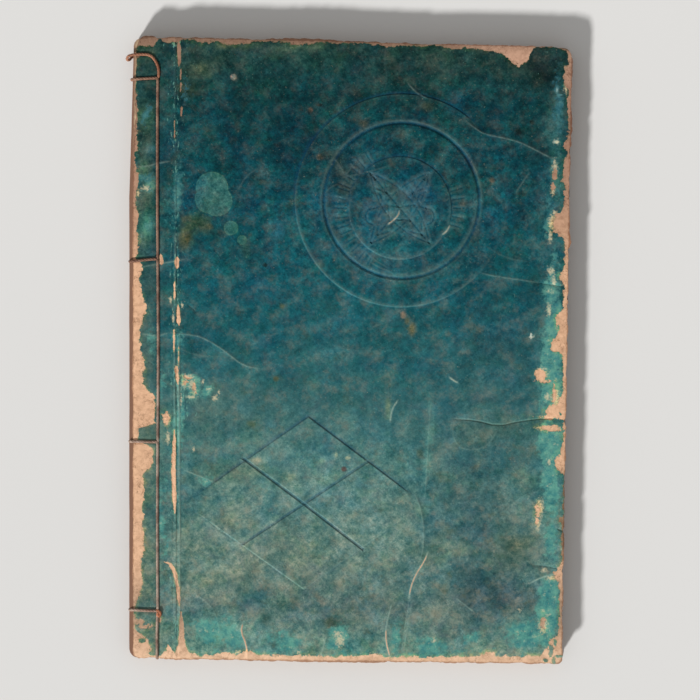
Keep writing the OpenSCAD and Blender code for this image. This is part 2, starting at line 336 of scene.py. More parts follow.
# Folds and cracks in the cover: path, height of the ridge or depth of the valley, how much dye is gone
CREASES = [(path_at(*path), rise, rub_and_highlight) for path, rise, rub_and_highlight in (
    (((466, 121), (475, 128), (484, 134), (505, 138), (520, 142), (540, 152), (557, 161)), 0.18, 0.26),
    (((407, 82), (413, 89), (420, 95), (427, 98)), 0.18, 0.22),
    (((172, 333), (195, 335), (208, 340), (225, 351), (242, 365), (261, 369)), 0.16, 0.3),
    (((480, 273), (500, 277), (523, 280), (540, 283)), 0.12, 0.22),
    (((532, 282), (548, 284), (566, 287)), -0.25, 0.0),
    (((452, 419), (475, 420), (498, 426), (520, 421), (546, 418), (565, 420)), -0.34, 0.15),
    (((455, 418), (452, 432), (456, 444), (466, 450), (482, 449), (492, 440), (498, 427)), 0.09, 0.13),
    (((414, 492), (421, 508), (424, 530), (423, 554), (414, 572)), 0.16, 0.22),
    (((428, 552), (424, 562), (416, 574), (411, 586), (409, 598)), 0.22, 1.2),
    (((409, 598), (405, 623), (400, 657)), -0.24, 0.1),
    (((412, 602), (408, 626), (403, 655)), 0.1, 0.2),
    (((392, 603), (388, 618), (386, 630)), 0.14, 0.5),
    (((386, 628), (386, 642), (390, 657)), 0.18, 1.3),
    (((327, 634), (323, 648), (320, 661)), 0.16, 0.5),
    (((243, 622), (241, 632), (246, 643), (248, 659)), 0.2, 1.5),
    (((532, 565), (545, 566), (560, 569)), -0.25, 0.1),
    (((530, 583), (542, 577), (556, 573)), 0.14, 0.7),
    (((557, 529), (561, 530), (565, 532)), -0.4, 0.0),
    (((186, 471), (198, 475), (214, 482)), 0.12, 0.3),
    (((456, 598), (468, 607), (474, 612)), 0.12, 0.35),
    (((431, 400), (429, 430), (427, 470), (425, 500)), 0.12, 0.14),
    (((186, 303), (198, 313)), -0.16, 0.0), (((449, 377), (453, 380), (458, 383)), 0.1, 0.8),
    (((386, 44), (384, 62), (387, 78), (384, 92)), -0.12, 0.05),
    (((190, 590), (205, 600), (216, 612), (222, 640)), 0.1, 0.1),
    (((503, 512), (520, 497), (541, 490)), 0.09, 0.1),
    (((139, 268), (150, 265), (170, 262), (186, 259)), 0.1, 0.3),
    (((134, 167), (148, 166), (158, 163), (171, 161)), 0.1, 0.3),
    (((142, 334), (158, 336), (168, 333)), 0.1, 0.3),
    (((399, 210), (399, 214), (395, 219), (387, 225)), 0.18, 1.0),
    (((450, 225), (447, 231), (442, 235)), 0.18, 0.9),
    (((398, 400), (392, 409), (390, 422)), 0.14, 0.7),
    (((176, 345), (186, 352), (205, 357), (224, 356)), 0.07, 0.08),
    (((484, 245), (505, 258), (530, 262)), 0.07, 0.08),
    (((205, 520), (228, 540), (252, 548)), 0.07, 0.08),
    (((330, 345), (360, 352), (392, 350)), 0.06, 0.05),
    (((340, 178), (372, 171), (389, 166)), 0.07, 0.12),
    (((258, 168), (246, 176), (238, 190)), 0.07, 0.12),
    (((470, 160), (500, 158), (520, 160)), -0.08, 0.0),
    (((515, 194), (524, 180), (530, 172)), 0.07, 0.15),
    (((334, 158), (340, 166), (345, 176)), 0.09, 0.14),
    (((345, 176), (350, 170), (353, 164)), 0.09, 0.14),
    (((338, 184), (331, 187), (325, 193)), 0.09, 0.12),
    (((338, 196), (350, 200), (362, 208)), 0.07, 0.1),
    (((370, 262), (380, 268), (392, 272)), 0.07, 0.14),
    (((364, 250), (374, 260), (388, 268)), 0.07, 0.12),
)]

# Lines of the hinge crease: column in pixels, height or depth, dye rubbed off, first and last row
HINGE_LINES = [
    (172.8, -0.2, 0, 30, 670), (174.9, 0.12, 0.2, 230, 520), (176.9, -0.24, 0, 30, 670),
    (179.2, 0.13, 0.4, 340, 640), (181.2, -0.1, 0, 250, 670), (175.0, 0.1, 0.1, 30, 230),
]

# Worn streaks along the hinge crease: path, and width at its two ends in millimetres
HINGE_STREAKS = [(path_at(*path), w_start, w_end) for path, w_start, w_end in (
    (((179, 42), (179, 66)), 1.5, 1.1), (((181, 82), (180.5, 92)), 0.8, 0.6),
    (((181.7, 106), (181.2, 117)), 0.7, 0.4), (((177, 257), (177, 269)), 1.6, 1.5),
    (((178, 304), (179, 325)), 0.6, 1.6), (((174, 330), (174, 352)), 0.7, 0.5),
    (((176, 366), (178, 384)), 1.6, 0.9), (((167, 414), (167, 425)), 1.2, 0.9),
    (((174.5, 430), (173.5, 470), (174.8, 513)), 1.2, 1.8),
    (((164, 562), (170, 564), (175, 573), (178, 588), (179.5, 606)), 1.3, 1.2),
    (((181, 68), (180.5, 80)), 0.4, 0.5), (((181, 612), (181.5, 630), (182, 660)), 0.9, 3.4),
    (((168, 645), (172, 662)), 0.8, 5.0), (((174.5, 120), (174.5, 140)), 0.35, 0.3),
    (((174.5, 282), (174.5, 300)), 0.7, 0.5), (((178.5, 345), (178.8, 372)), 0.35, 0.4),
    (((160.5, 254), (161.5, 265)), 1.2, 1.5), (((139, 627), (147, 628)), 1.1, 0.8),
)]

# Chips through the dye inside the cover: place in pixels, then half width and half height in millimetres
CHIPS = [
    (186, 383, 1.0, 0.6), (187, 377, 0.9, 0.35), (194, 388, 0.4, 1.2), (541, 375, 2.0, 1.9),
    (545, 381, 2.2, 0.7), (554, 395, 0.8, 2.8), (556, 412, 3.2, 2.0), (551, 417, 3.6, 0.5),
    (550, 428, 3.8, 1.1), (559, 463, 1.3, 2.6), (538, 508, 0.9, 2.4), (537, 522, 0.6, 1.2),
    (559, 574, 1.8, 2.2), (543, 624, 0.8, 1.7), (555, 175, 0.9, 1.9), (553, 187, 0.5, 1.0),
    (566, 147, 1.3, 0.9), (564, 276, 1.4, 1.6), (562, 322, 1.8, 3.0), (557, 345, 2.2, 2.2),
    (567, 178, 1.4, 3.4), (563, 224, 3.4, 4.0), (568, 76, 1.5, 3.2), (489, 657, 2.6, 1.6),
    (556, 651, 2.8, 4.4), (548, 656, 2.0, 2.0), (560, 642, 1.6, 2.4), (542, 659, 1.6, 1.2),
    (147, 626, 1.8, 0.6), (139, 622, 1.4, 1.2), (141, 648, 3.0, 3.8), (224, 659, 2.6, 1.0),
    (248, 656, 1.4, 1.4), (166, 418, 1.0, 2.0), (160, 620, 0.5, 0.7), (561, 520, 0.8, 0.9),
    (563, 540, 0.9, 1.2),
]
# Cream specks over the pale dye: middle, half width and half height in pixels
SPECKS = [
    (554, 281, 2.2, 4), (551, 271, 3, 3.5), (549, 310, 2, 5.5), (549, 291, 1.2, 1.5), (552, 222, 3, 6),
    (555, 213, 2.5, 2.5), (550, 237, 1.3, 6), (188, 377, 5, 2.2), (192, 384, 3, 5), (184, 384, 2.0, 3.5),
    (195, 391, 1.6, 3.5), (203, 382, 1.0, 1.6), (191, 397, 5, 1.2), (215, 398, 2, 2.6),
    (209, 389, 1.4, 1.2), (219, 392, 1, 2), (167, 420, 2, 5), (168, 438, 1.4, 5), (340, 640, 4, 6),
    (337, 634, 3, 3), (555, 168, 2, 7), (553, 190, 1.6, 5), (557, 142, 1.6, 2), (566, 88, 1, 5),
    (540, 508, 3, 8), (538, 524, 2, 5), (543, 626, 4, 6), (547, 397, 2, 3), (556, 398, 3, 8),
    (541, 374, 5, 5), (546, 428, 8, 2), (549, 462, 1.5, 3), (551, 578, 5, 2), (544, 570, 2, 2),
    (238, 652, 2, 1.6), (299, 652, 1.6, 1.4), (434, 640, 1.0, 2.4), (146, 188, 3, 2), (138, 193, 1.2, 3),
    (520, 610, 2, 1), (171, 300, 0.8, 3), (173, 318, 0.8, 5), (182, 305, 0.8, 3), (194, 449, 0.8, 2),
    (181, 400, 0.8, 6),
]
# Islands of dye left inside the worn places, in the same terms
ISLANDS = [
    (551, 652, 0.6, 1.8), (556, 643, 0.5, 1.3), (559, 656, 1.4, 0.5), (546, 660, 1.0, 0.6),
    (554, 661, 0.5, 1.0), (144, 50, 2.6, 1.3), (153, 429, 1.6, 0.8), (142, 641, 1.2, 0.7),
    (560, 414, 0.5, 0.4), (565, 430, 0.4, 0.5),
]
# Places where the dark dye is rubbed down to pale turquoise: middle and reach in pixels
PALE = [
    (559, 105, 5, 36), (556, 180, 5, 18), (551, 222, 5, 14), (553, 262, 4, 12), (553, 292, 9, 26),
    (554, 325, 11, 32), (551, 352, 13, 34), (551, 392, 14, 34), (551, 446, 14, 26), (551, 486, 12, 30),
    (553, 540, 8, 26), (549, 590, 12, 20), (547, 618, 14, 26), (530, 636, 26, 14), (212, 628, 22, 12),
    (233, 638, 14, 12), (288, 640, 20, 9), (337, 638, 12, 12), (430, 645, 18, 10), (398, 636, 8, 14),
    (470, 640, 12, 8), (350, 655, 190, 4), (190, 386, 12, 13), (207, 392, 7, 7), (147, 118, 6, 12),
    (146, 182, 7, 13), (148, 226, 6, 10), (178, 190, 5, 34), (180, 340, 7, 14), (181, 425, 6, 26),
    (160, 385, 4, 20), (152, 340, 5, 16), (188, 90, 3, 9), (205, 482, 7, 6), (210, 640, 14, 8),
    (163, 520, 5, 50),
]

# How far each worn rim reaches in from its edge, in pixels: place along the edge, then width
SPINE_RIM = [
    (34, 24), (42, 22), (47, 8), (54, 6), (66, 5), (72, 3.5), (84, 3.5), (95, 4.5), (108, 6.5), (143, 7),
    (160, 5.5), (172, 8.5), (190, 9), (202, 6), (217, 9.5), (227, 8), (240, 10), (252, 9), (258, 6),
    (262, 12), (270, 13), (280, 11), (292, 13), (300, 16), (308, 18), (318, 15), (326, 12), (340, 10),
    (350, 13), (358, 16), (385, 15), (391, 20), (397, 26), (410, 27), (424, 26), (428, 11), (441, 9),
    (446, 22), (452, 24), (466, 23), (474, 14), (490, 16), (510, 14), (545, 16), (560, 12), (585, 14),
    (604, 7), (612, 4), (620, 7), (628, 6), (636, 14), (650, 16), (660, 16),
]
HEAD_RIM = [
    (130, 10), (154, 9), (158, 3), (161, 2), (164, 5), (178, 5), (183, 2), (194, 2), (198, 5), (210, 4),
    (218, 3), (226, 6), (246, 5), (254, 2.5), (288, 2.5), (294, 4.5), (314, 4), (320, 2.5), (382, 3),
    (388, 5), (400, 3), (440, 2.5), (448, 5), (474, 5), (480, 5.5), (496, 7), (503, 10), (508, 15),
    (514, 20), (519, 22), (524, 19), (529, 13), (533, 3), (536, 1.5), (560, 1.5), (564, 5), (576, 7),
]
TAIL_RIM = [
    (130, 6), (150, 4), (160, 5), (170, 10), (173, 5), (180, 7), (192, 7), (200, 5), (214, 5), (224, 8),
    (234, 6), (246, 9), (256, 7), (266, 5.5), (300, 5), (350, 5.5), (380, 7), (386, 4), (400, 5), (440, 5),
    (480, 6), (490, 9), (500, 6), (540, 7), (560, 9),
]
FORE_RIM = [
    (45, 6), (58, 5), (64, 4), (70, 7), (84, 7), (90, 3.5), (120, 4), (138, 3), (144, 7), (149, 7),
    (153, 3), (160, 6), (200, 6), (212, 9), (220, 13), (232, 10), (242, 5), (262, 4), (272, 6), (282, 5),
    (296, 5), (312, 7), (326, 8), (336, 11), (350, 12), (356, 5), (388, 4), (402, 8), (417, 9), (421, 2),
    (426, 6), (434, 3), (452, 4), (460, 7), (468, 6), (474, 2), (500, 2), (540, 2.4), (560, 3), (568, 7),
    (580, 6), (588, 4), (630, 4), (640, 7), (662, 8),
]
CORNERS = {"head_spine": at(133, 36.5), "head_fore": at(573, 46), "tail_fore": at(562.5, 663),
           "tail_spine": at(128.5, 659.5), "shoulder": at(128.5, 190)}
RIMS = [
    ("head_spine", "head_fore", 0, HEAD_RIM), ("tail_fore", "tail_spine", 0, TAIL_RIM),
    ("head_fore", "tail_fore", 1, FORE_RIM), ("shoulder", "head_spine", 1, SPINE_RIM),
    ("tail_spine", "shoulder", 1, SPINE_RIM),
]


def edge_distance(x, y, start, end):
    """Distance in from the straight edge that runs from start to end, clockwise round the cover."""
    (ax, ay), (bx, by) = CORNERS[start], CORNERS[end]
    length = math.hypot(bx - ax, by - ay)
    return ((x - ax) * (by - ay) - (y - ay) * (bx - ax)) / length


def rim_wear(x, y):
    """How far inside the worn rims each point lies, in millimetres, below 0 outside them."""
    worn = np.full(np.shape(x), -9.0)
    places = pixel_of(x, y)
    for start, end, along, rim in RIMS:
        width = np.interp(places[along], *np.array(rim, float).T) * PHOTO_SCALE
        worn = np.maximum(worn, width - edge_distance(x, y, start, end))
    return worn + 0.6 * fractal(x, y, 3.0, 71) + 0.3 * value_noise(x, y, 1.1, 75)


def front_wear(x, y):
    """Signed wear of the front cover in millimetres: above 0 the dye is gone."""
    worn = rim_wear(x, y)
    for path, w_start, w_end in HINGE_STREAKS:
        d, share = path_distance(x, y, path)
        width = (w_start + (w_end - w_start) * share) * np.clip(np.sin(np.pi * share) * 2.2, 0.25, 1)
        width = width + (w_end > 2.5) * w_end * np.clip(share * 3 - 2, 0, 1)
        worn = np.maximum(worn, 2.6 * (width / 2 - d + 0.12 * value_noise(x, y, 1.6, 85)))
    shift_x, shift_y = 0.8 * fractal(x, y, 2.4, 81), 0.8 * fractal(x, y, 2.4, 83)
    for px, py, rx, ry in CHIPS:
        r = oval(x + shift_x, y + shift_y, px, py, rx, ry)
        worn = np.maximum(worn, (1.15 - r) * min(rx, ry, 2.0))
    for px, py, rx, ry in ISLANDS:
        r = oval(x + 0.6 * shift_x, y + 0.6 * shift_y, px, py, rx, ry)
        worn = np.minimum(worn, (r - 1.2) * 1.4)
    return np.clip(worn, -3, 3)


def pale_patches(x, y):
    """How far inside the pale turquoise patches each point lies, in millimetres, below 0 outside them."""
    shift_x, shift_y = 2.0 * fractal(x, y, 6, 86), 3.0 * fractal(x, y, 6, 88)
    best = np.full(np.shape(x), -3.0)
    for px, py, rx, ry in PALE:
        r = oval(x + shift_x, y + shift_y, px, py, rx, ry) / PHOTO_SCALE
        best = np.maximum(best, (1 - r) * min(rx, ry) * PHOTO_SCALE)
    return np.clip(best, -3, 3)


def specks(x, y):
    """1 in the middle of each cream speck, 0 at its edge and below 0 outside."""
    best = np.full(np.shape(x), -1.0)
    for spot in SPECKS:
        best = np.maximum(best, 1 - oval(x, y, *spot) / PHOTO_SCALE)
    return best


def margin_drop(x):
    """How far the sewing presses the margin in, from PINCH in the flat strip to 0 at the crease."""
    return PINCH * (1 - step(x - (FLAT_END_X + CREASE_X) / 2, CREASE_X - FLAT_END_X))


THREAD_RUNS = [np.array([(SEWING_X, HOLES_Y[0] + 1), (SEWING_X, down(659))])]
THREAD_RUNS += [path_at((129, row), (157.5, row)) for row in HOLE_ROWS]
HEAD_LOOP = path_at(
    (158.6, 78), (158.9, 71), (157.6, 65), (155, 60), (151.5, 56), (147, 54.3), (140, 54.2), (130, 55.2))


def lozenge_inside(x, y):
    """Distance inside the lozenge, below 0 outside it."""
    best = np.full(np.shape(x), 1e9)
    for a, b in zip(LOZENGE_TIPS, np.roll(LOZENGE_TIPS, -1, axis=0)):
        run = b - a
        best = np.minimum(best, ((y - a[1]) * run[0] - (x - a[0]) * run[1]) / np.hypot(*run))
    return best


def foot_and_shoulder(outside):
    """Masks at the foot of a raised edge, for painted shade, and on its shoulder, for rubbing with painted
    highlight, from the distance outside the edge.
    """
    foot = bell(outside - 0.3, 0.3)
    shoulder = bell(outside + 0.35, 0.3)
    return foot, shoulder


def front_relief(x, y):
    """Height above the plain cover, painted shade in the grooves and at the foot of raised edges, and pale
    lines of rubbing and painted highlight beside them.
    """
    r_plate = np.hypot(x - ROUNDEL[0], y - ROUNDEL[1])
    r_disc = np.hypot(x - DISC[0], y - DISC[1])
    worn_side = step((x - ROUNDEL[0]) / np.maximum(r_plate, 1) - 0.72, 0.4)
    height = PLATE_RISE * (1 - step(r_plate - ROUNDEL_R, SLOPE_W * (1 + 5 * worn_side)))
    groove = np.zeros(np.shape(x))
    ring_off = np.abs(r_plate - (RING_INNER + RING_OUTER) / 2) / (RING_OUTER - RING_INNER)
    ring = np.clip(1.25 - 2.5 * ring_off, 0, 1)
    height = height - RING_DEPTH * ring + DISC_RISE * (1 - step(r_disc - DISC_R, SLOPE_W))
    above = step(y - ROUNDEL[1], 30)
    # Painted shade in the ring's groove
    groove = np.maximum(groove, 0.5 * ring)
    # Painted highlights on the walls of the ring that face the tail, where the key light comes from:
    # outside the ring, strongest at the head, and inside it at the tail
    rub_and_highlight = 0.16 * bell(r_plate - RING_OUTER - 0.2, 0.35) * (0.4 + 0.6 * above)
    rub_and_highlight = np.maximum(rub_and_highlight, 0.2 * bell(r_plate - RING_INNER + 0.5, 0.5) * (1 - above))
    for outside, strength in ((r_plate - ROUNDEL_R, 1 - 0.8 * worn_side), (r_disc - DISC_R, 0.8)):
        foot, shoulder = foot_and_shoulder(outside)
        # Painted shade at the foot of the plate's and the disc's edges, deepest towards the head, away from
        # the key light; rubbing and painted highlight on their shoulders, strongest towards the tail
        groove = np.maximum(groove, (0.1 + 0.5 * above) * strength * foot)
        rub_and_highlight = np.maximum(rub_and_highlight, (0.17 - 0.13 * above) * strength * shoulder)
    for line in crest_lines():
        d, _ = path_distance(x, y, line)
        pressed = np.clip(1.2 - d / 0.5, 0, 1)
        height = height - 0.16 * pressed
        # Painted shade in the crest's grooves, with rubbing and painted highlight along both sides
        groove = np.maximum(groove, 0.18 * pressed)
        rub_and_highlight = np.maximum(rub_and_highlight, 0.11 * bell(d - 0.55, 0.3))
    fade = 1 - step(np.abs(x - LOZENGE[0]) - 38, 14)
    inside = lozenge_inside(x, y)
    foot, shoulder = foot_and_shoulder(-inside)
    above = step(y - LOZENGE[1], 12)
    height = height + fade * PLATE_RISE * step(inside, SLOPE_W)
    # Painted shade at the foot of the lozenge's edges, deepest towards the head; rubbing and painted
    # highlight on its shoulders, strongest towards the tail and weak on its left part
    groove = np.maximum(groove, (0.15 + 0.6 * above) * fade * foot)
    right = 1 - 0.8 * step(LOZENGE[0] - x - 24, 8)
    rub_and_highlight = np.maximum(rub_and_highlight, (0.15 - 0.13 * above) * fade * shoulder * right)
    for line in QUARTER_LINES:
        d, _ = path_distance(x, y, line)
        pressed = 1 - step(d - QUARTER_W / 2, 0.45)
        height = height - 0.3 * pressed
        # Painted shade in the quartering grooves, with rubbing and painted highlight along both sides
        groove = np.maximum(groove, 0.6 * pressed)
        rub_and_highlight = np.maximum(rub_and_highlight, 0.1 * bell(d - QUARTER_W / 2 - 0.4, 0.3))
    return height, groove, rub_and_highlight


def cover_shape(x, y):
    """Height of the front cover's face, with every field that its material reads."""
    height, groove, crease = front_relief(x, y)
    for path, rise, rub_and_highlight in CREASES:
        path = rounded(path, 1)
        d, share = path_distance(x, y, path)
        taper = np.clip(np.minimum(share, 1 - share) * 6 + 0.25, 0, 1)
        ridge = bell(d, 0.42) + 0.35 * bell(d, 1.6)
        height = height + rise * ridge * taper
        crease = np.maximum(crease, rub_and_highlight * bell(d, 0.3) * taper)
    wander = 0.22 * value_noise(x * 0, y, 16, 5)
    row = pixel_of(x, y)[1]
    strength = np.interp(row, (150, 300, 420), (0.4, 0.8, 1.1)) * (1 + 0.5 * value_noise(x * 0, y, 9, 7))
    for px, rise, rub_and_highlight, first, last in HINGE_LINES:
        here = strength * step(row - first, 30) * step(last - row, 30)
        ridge = here * bell(x - across(px) - wander, 0.3)
        height = height + rise * ridge
        crease = np.maximum(crease, rub_and_highlight * ridge)
    for path in THREAD_RUNS + [HEAD_LOOP]:
        d, _ = path_distance(x, y, path)
        height = height - 0.34 * bell(d, 0.62)
    for path, w_start, w_end in HINGE_STREAKS:
        d, share = path_distance(x, y, path)
        width = np.minimum(w_start + (w_end - w_start) * share, 1.4)
        height = height + 0.16 * bell(d, 0.25 + 0.5 * width)
    wear = front_wear(x, y)
    height = height - 0.1 * step(wear, 0.8)
    height = height + 0.16 * fractal(x, y, 34, 21, 2) + 0.05 * fractal(x, y, 6, 25, 2)
    return height, groove, crease, wear


# Meshes
def sheet_points(outline, gap, features, clear=0.42):
    """Even points inside an outline, with denser ones along the features."""
    low, high = outline.min(0), outline.max(0)

    def cells(points, cell):
        return tuple((np.floor((points - low) / cell).astype(int) + 3).T)

    def marked(points, cell):
        taken = np.zeros(np.ceil((high - low) / cell).astype(int) + 7, bool)
        i, j = cells(points, cell)
        for di in (-1, 0, 1):
            for dj in (-1, 0, 1):
                taken[i + di, j + dj] = True
        return taken

    kept = np.zeros((0, 2))
    fine = clear * 0.4
    for points in features:
        points = points[inner_distance(*points.T, hull(outline)) > 0.7]
        if len(kept):
            points = points[~marked(kept, fine)[cells(points, fine)]]
        kept = np.vstack([kept, points])
    rows = np.arange(low[1] + gap, high[1], gap * 0.866)
    grid = []
    for k, y in enumerate(rows):
        x = np.arange(low[0] + gap * (0.5 if k % 2 else 1.0), high[0], gap)
        grid.append(np.stack([x, np.full(len(x), y)], 1))
    grid = np.vstack(grid)
    if len(kept):
        grid = grid[~marked(kept, clear)[cells(grid, clear)]]
    return np.vstack([kept, grid])


def far_inside(points, outline, gap):
    """Those points that lie at least gap inside a ragged outline."""
    a, b = outline, np.roll(outline, -1, axis=0)
    keep = np.ones(len(points), bool)
    near = inner_distance(*points.T, hull(outline)) < 4
    some = points[near]
    crossing = np.zeros(len(some), bool)
    closest = np.full(len(some), 1e9)
    for (ax, ay), (bx, by) in zip(a, b):
        spans = (ay > some[:, 1]) != (by > some[:, 1])
        with np.errstate(divide="ignore", invalid="ignore"):
            x_at = ax + (some[:, 1] - ay) * (bx - ax) / (by - ay)
        crossing ^= spans & (some[:, 0] < x_at)
        closest = np.minimum(closest, np.hypot(some[:, 0] - ax, some[:, 1] - ay))
    keep[near] = crossing & (closest > gap)
    return points[keep]


def triangulated(outline, inside):
    """Triangles inside an outline: all points, faces, and where the outline's points went."""
    points = np.vstack([outline, inside])
    loop = list(range(len(outline)))
    found = delaunay_2d_cdt([Vector(p) for p in points], [], [loop], 1, 1e-5)
    places = np.array([v[:] for v in found[0]])
    new_index = {}
    for new, olds in enumerate(found[3]):
        for old in olds:
            new_index[old] = new
    return places, np.array(found[2]), np.array([new_index[k] for k in loop])


def closed_sheet(top, top_faces, top_loop, low, low_faces, low_loop):
    """One closed mesh from an upper and a lower face whose outlines match point for point."""
    shift = len(top)
    a, b = top_loop, np.roll(top_loop, -1)
    c, d = low_loop + shift, np.roll(low_loop, -1) + shift
    wall = np.vstack([np.stack([a, c, b], 1), np.stack([b, c, d], 1)])
    faces = np.vstack([top_faces, low_faces[:, ::-1] + shift, wall])
    return np.vstack([top, low]), faces


def faces_between(count, rings):
    """Triangles that join rings of count points, one ring after the other."""
    i = np.arange(count)
    j = (i + 1) % count
    faces = []
    for k in range(rings - 1):
        a, b = k * count, (k + 1) * count
        faces += [np.stack([i + a, j + a, j + b], 1), np.stack([i + a, j + b, i + b], 1)]
    return faces


def mesh_object(name, points, faces, material, sharp=60):
    """A mesh in metres from points in millimetres."""
    mesh = bpy.data.meshes.new(name)
    mesh.from_pydata((np.asarray(points) * MM).tolist(), [], np.asarray(faces).tolist())
    mesh.validate()
    mesh.shade_smooth()
    mesh.set_sharp_from_angle(angle=math.radians(sharp))
    mesh.materials.append(material)
    obj = bpy.data.objects.new(name, mesh)
    bpy.context.scene.collection.objects.link(obj)
    return obj


def add_field(obj, name, values):
    """A value at each point that the material reads."""
    values = np.asarray(values, np.float32)
    kind = {1: "FLOAT", 2: "FLOAT_VECTOR"}[values.ndim]
    attribute = obj.data.attributes.new(name, kind, "POINT")
    attribute.data.foreach_set("value" if kind == "FLOAT" else "vector", values.ravel())


# Colours
def linear(colour):
    """An sRGB colour of 0 to 255 as linear light."""
    c = np.asarray(colour, float) / 255
    return np.where(c <= 0.04045, c / 12.92, ((c + 0.055) / 1.055) ** 2.4)


def srgb(*colour):
    return tuple(linear(colour))


# Dye down the cover, darker towards the head and paler and greyer towards the tail: a painted light falloff
# with painted sheen low down. Row in pixels, then colour
DYE_SHADE_AND_SHEEN_ROWS = [
    (45, (28, 58, 54)), (95, (8, 56, 58)), (150, (5, 60, 66)), (240, (9, 73, 81)), (305, (17, 79, 86)),
    (360, (32, 89, 94)), (400, (46, 95, 98)), (460, (70, 113, 110)), (560, (95, 122, 114)),
    (605, (82, 110, 105)), (645, (92, 122, 112)),
]
# Zones where the colour differs, partly in the dye and partly painted light where the cover is lit more or
# less strongly: middle and reach in pixels, colour and strength
DYE_AND_LIGHT_ZONES = [
    ((300, 478), (48, 42), (108, 142, 137), 0.55), ((385, 532), (28, 24), (122, 148, 138), 0.5),
    ((478, 500), (48, 120), (50, 88, 92), 0.8), ((500, 600), (42, 30), (60, 86, 86), 0.6),
    ((215, 412), (34, 26), (94, 122, 110), 0.5), ((220, 566), (42, 28), (130, 142, 122), 0.6),
    ((345, 608), (60, 13), (74, 98, 96), 0.6), ((225, 633), (26, 13), (98, 152, 138), 0.7),
    ((395, 60), (42, 18), (22, 48, 48), 0.5), ((352, 100), (22, 24), (3, 46, 50), 0.6),
    ((535, 62), (24, 14), (48, 56, 46), 0.5), ((528, 125), (24, 28), (7, 44, 48), 0.6),
    ((205, 60), (30, 14), (46, 66, 56), 0.5), ((350, 235), (20, 34), (8, 86, 98), 0.6),
    ((275, 290), (36, 36), (12, 82, 96), 0.5), ((392, 262), (26, 24), (32, 92, 104), 0.5),
    ((322, 358), (22, 20), (60, 114, 114), 0.6), ((438, 366), (24, 22), (20, 80, 88), 0.6),
    ((500, 348), (30, 24), (38, 74, 78), 0.6), ((547, 440), (11, 190), (70, 118, 116), 0.5),
    ((556, 160), (8, 60), (54, 100, 98), 0.6), ((360, 648), (200, 9), (98, 134, 122), 0.5),
    ((166, 160), (8, 120), (22, 66, 70), 0.7), ((166, 560), (8, 100), (62, 100, 98), 0.8),
    ((145, 150), (11, 120), (36, 62, 54), 0.9), ((145, 480), (11, 190), (88, 106, 90), 0.7),
    ((180, 400), (7, 40), (66, 104, 98), 0.5), ((520, 632), (30, 14), (96, 138, 126), 0.6),
    ((542, 74), (14, 20), (14, 30, 28), 0.8), ((500, 62), (20, 12), (28, 48, 40), 0.5),
    ((440, 58), (22, 12), (34, 58, 50), 0.5), ((147, 118), (6, 8), (78, 120, 92), 0.7),
    ((148, 226), (6, 12), (76, 138, 118), 0.75), ((147, 182), (6, 6), (94, 142, 116), 0.55),
    ((148, 148), (7, 6), (58, 98, 100), 0.5), ((141, 166), (4, 8), (64, 110, 80), 0.5),
    ((342, 165), (12, 16), (30, 44, 36), 0.75), ((250, 190), (14, 40), (6, 54, 66), 0.4),
    ((455, 100), (12, 12), (6, 66, 82), 0.5), ((330, 205), (14, 16), (14, 78, 100), 0.4),
    ((420, 205), (26, 30), (6, 70, 90), 0.4), ((245, 475), (44, 10), (104, 120, 92), 0.5),
    ((452, 548), (24, 14), (116, 132, 110), 0.5), ((515, 552), (20, 20), (92, 100, 78), 0.5),
    ((498, 598), (34, 18), (46, 72, 84), 0.65), ((428, 452), (4, 46), (98, 152, 142), 0.45),
    ((473, 590), (20, 12), (60, 86, 92), 0.4), ((372, 190), (50, 46), (4, 66, 84), 0.35),
    ((300, 145), (40, 34), (4, 58, 72), 0.35), ((478, 330), (26, 18), (14, 72, 84), 0.3),
    ((240, 530), (40, 20), (112, 128, 112), 0.5), ((310, 545), (24, 20), (118, 126, 98), 0.4),
    ((505, 430), (26, 22), (62, 92, 80), 0.4), ((512, 480), (24, 20), (84, 112, 96), 0.4),
    ((240, 110), (14, 30), (6, 50, 54), 0.5), ((470, 110), (14, 20), (2, 50, 52), 0.5),
]
# Blots with a hard edge: middle and radius in pixels
BLOTS = [(212, 188, 16), (217, 201, 15), (209, 199, 14), (231, 228, 7), (242, 240, 4.6)]
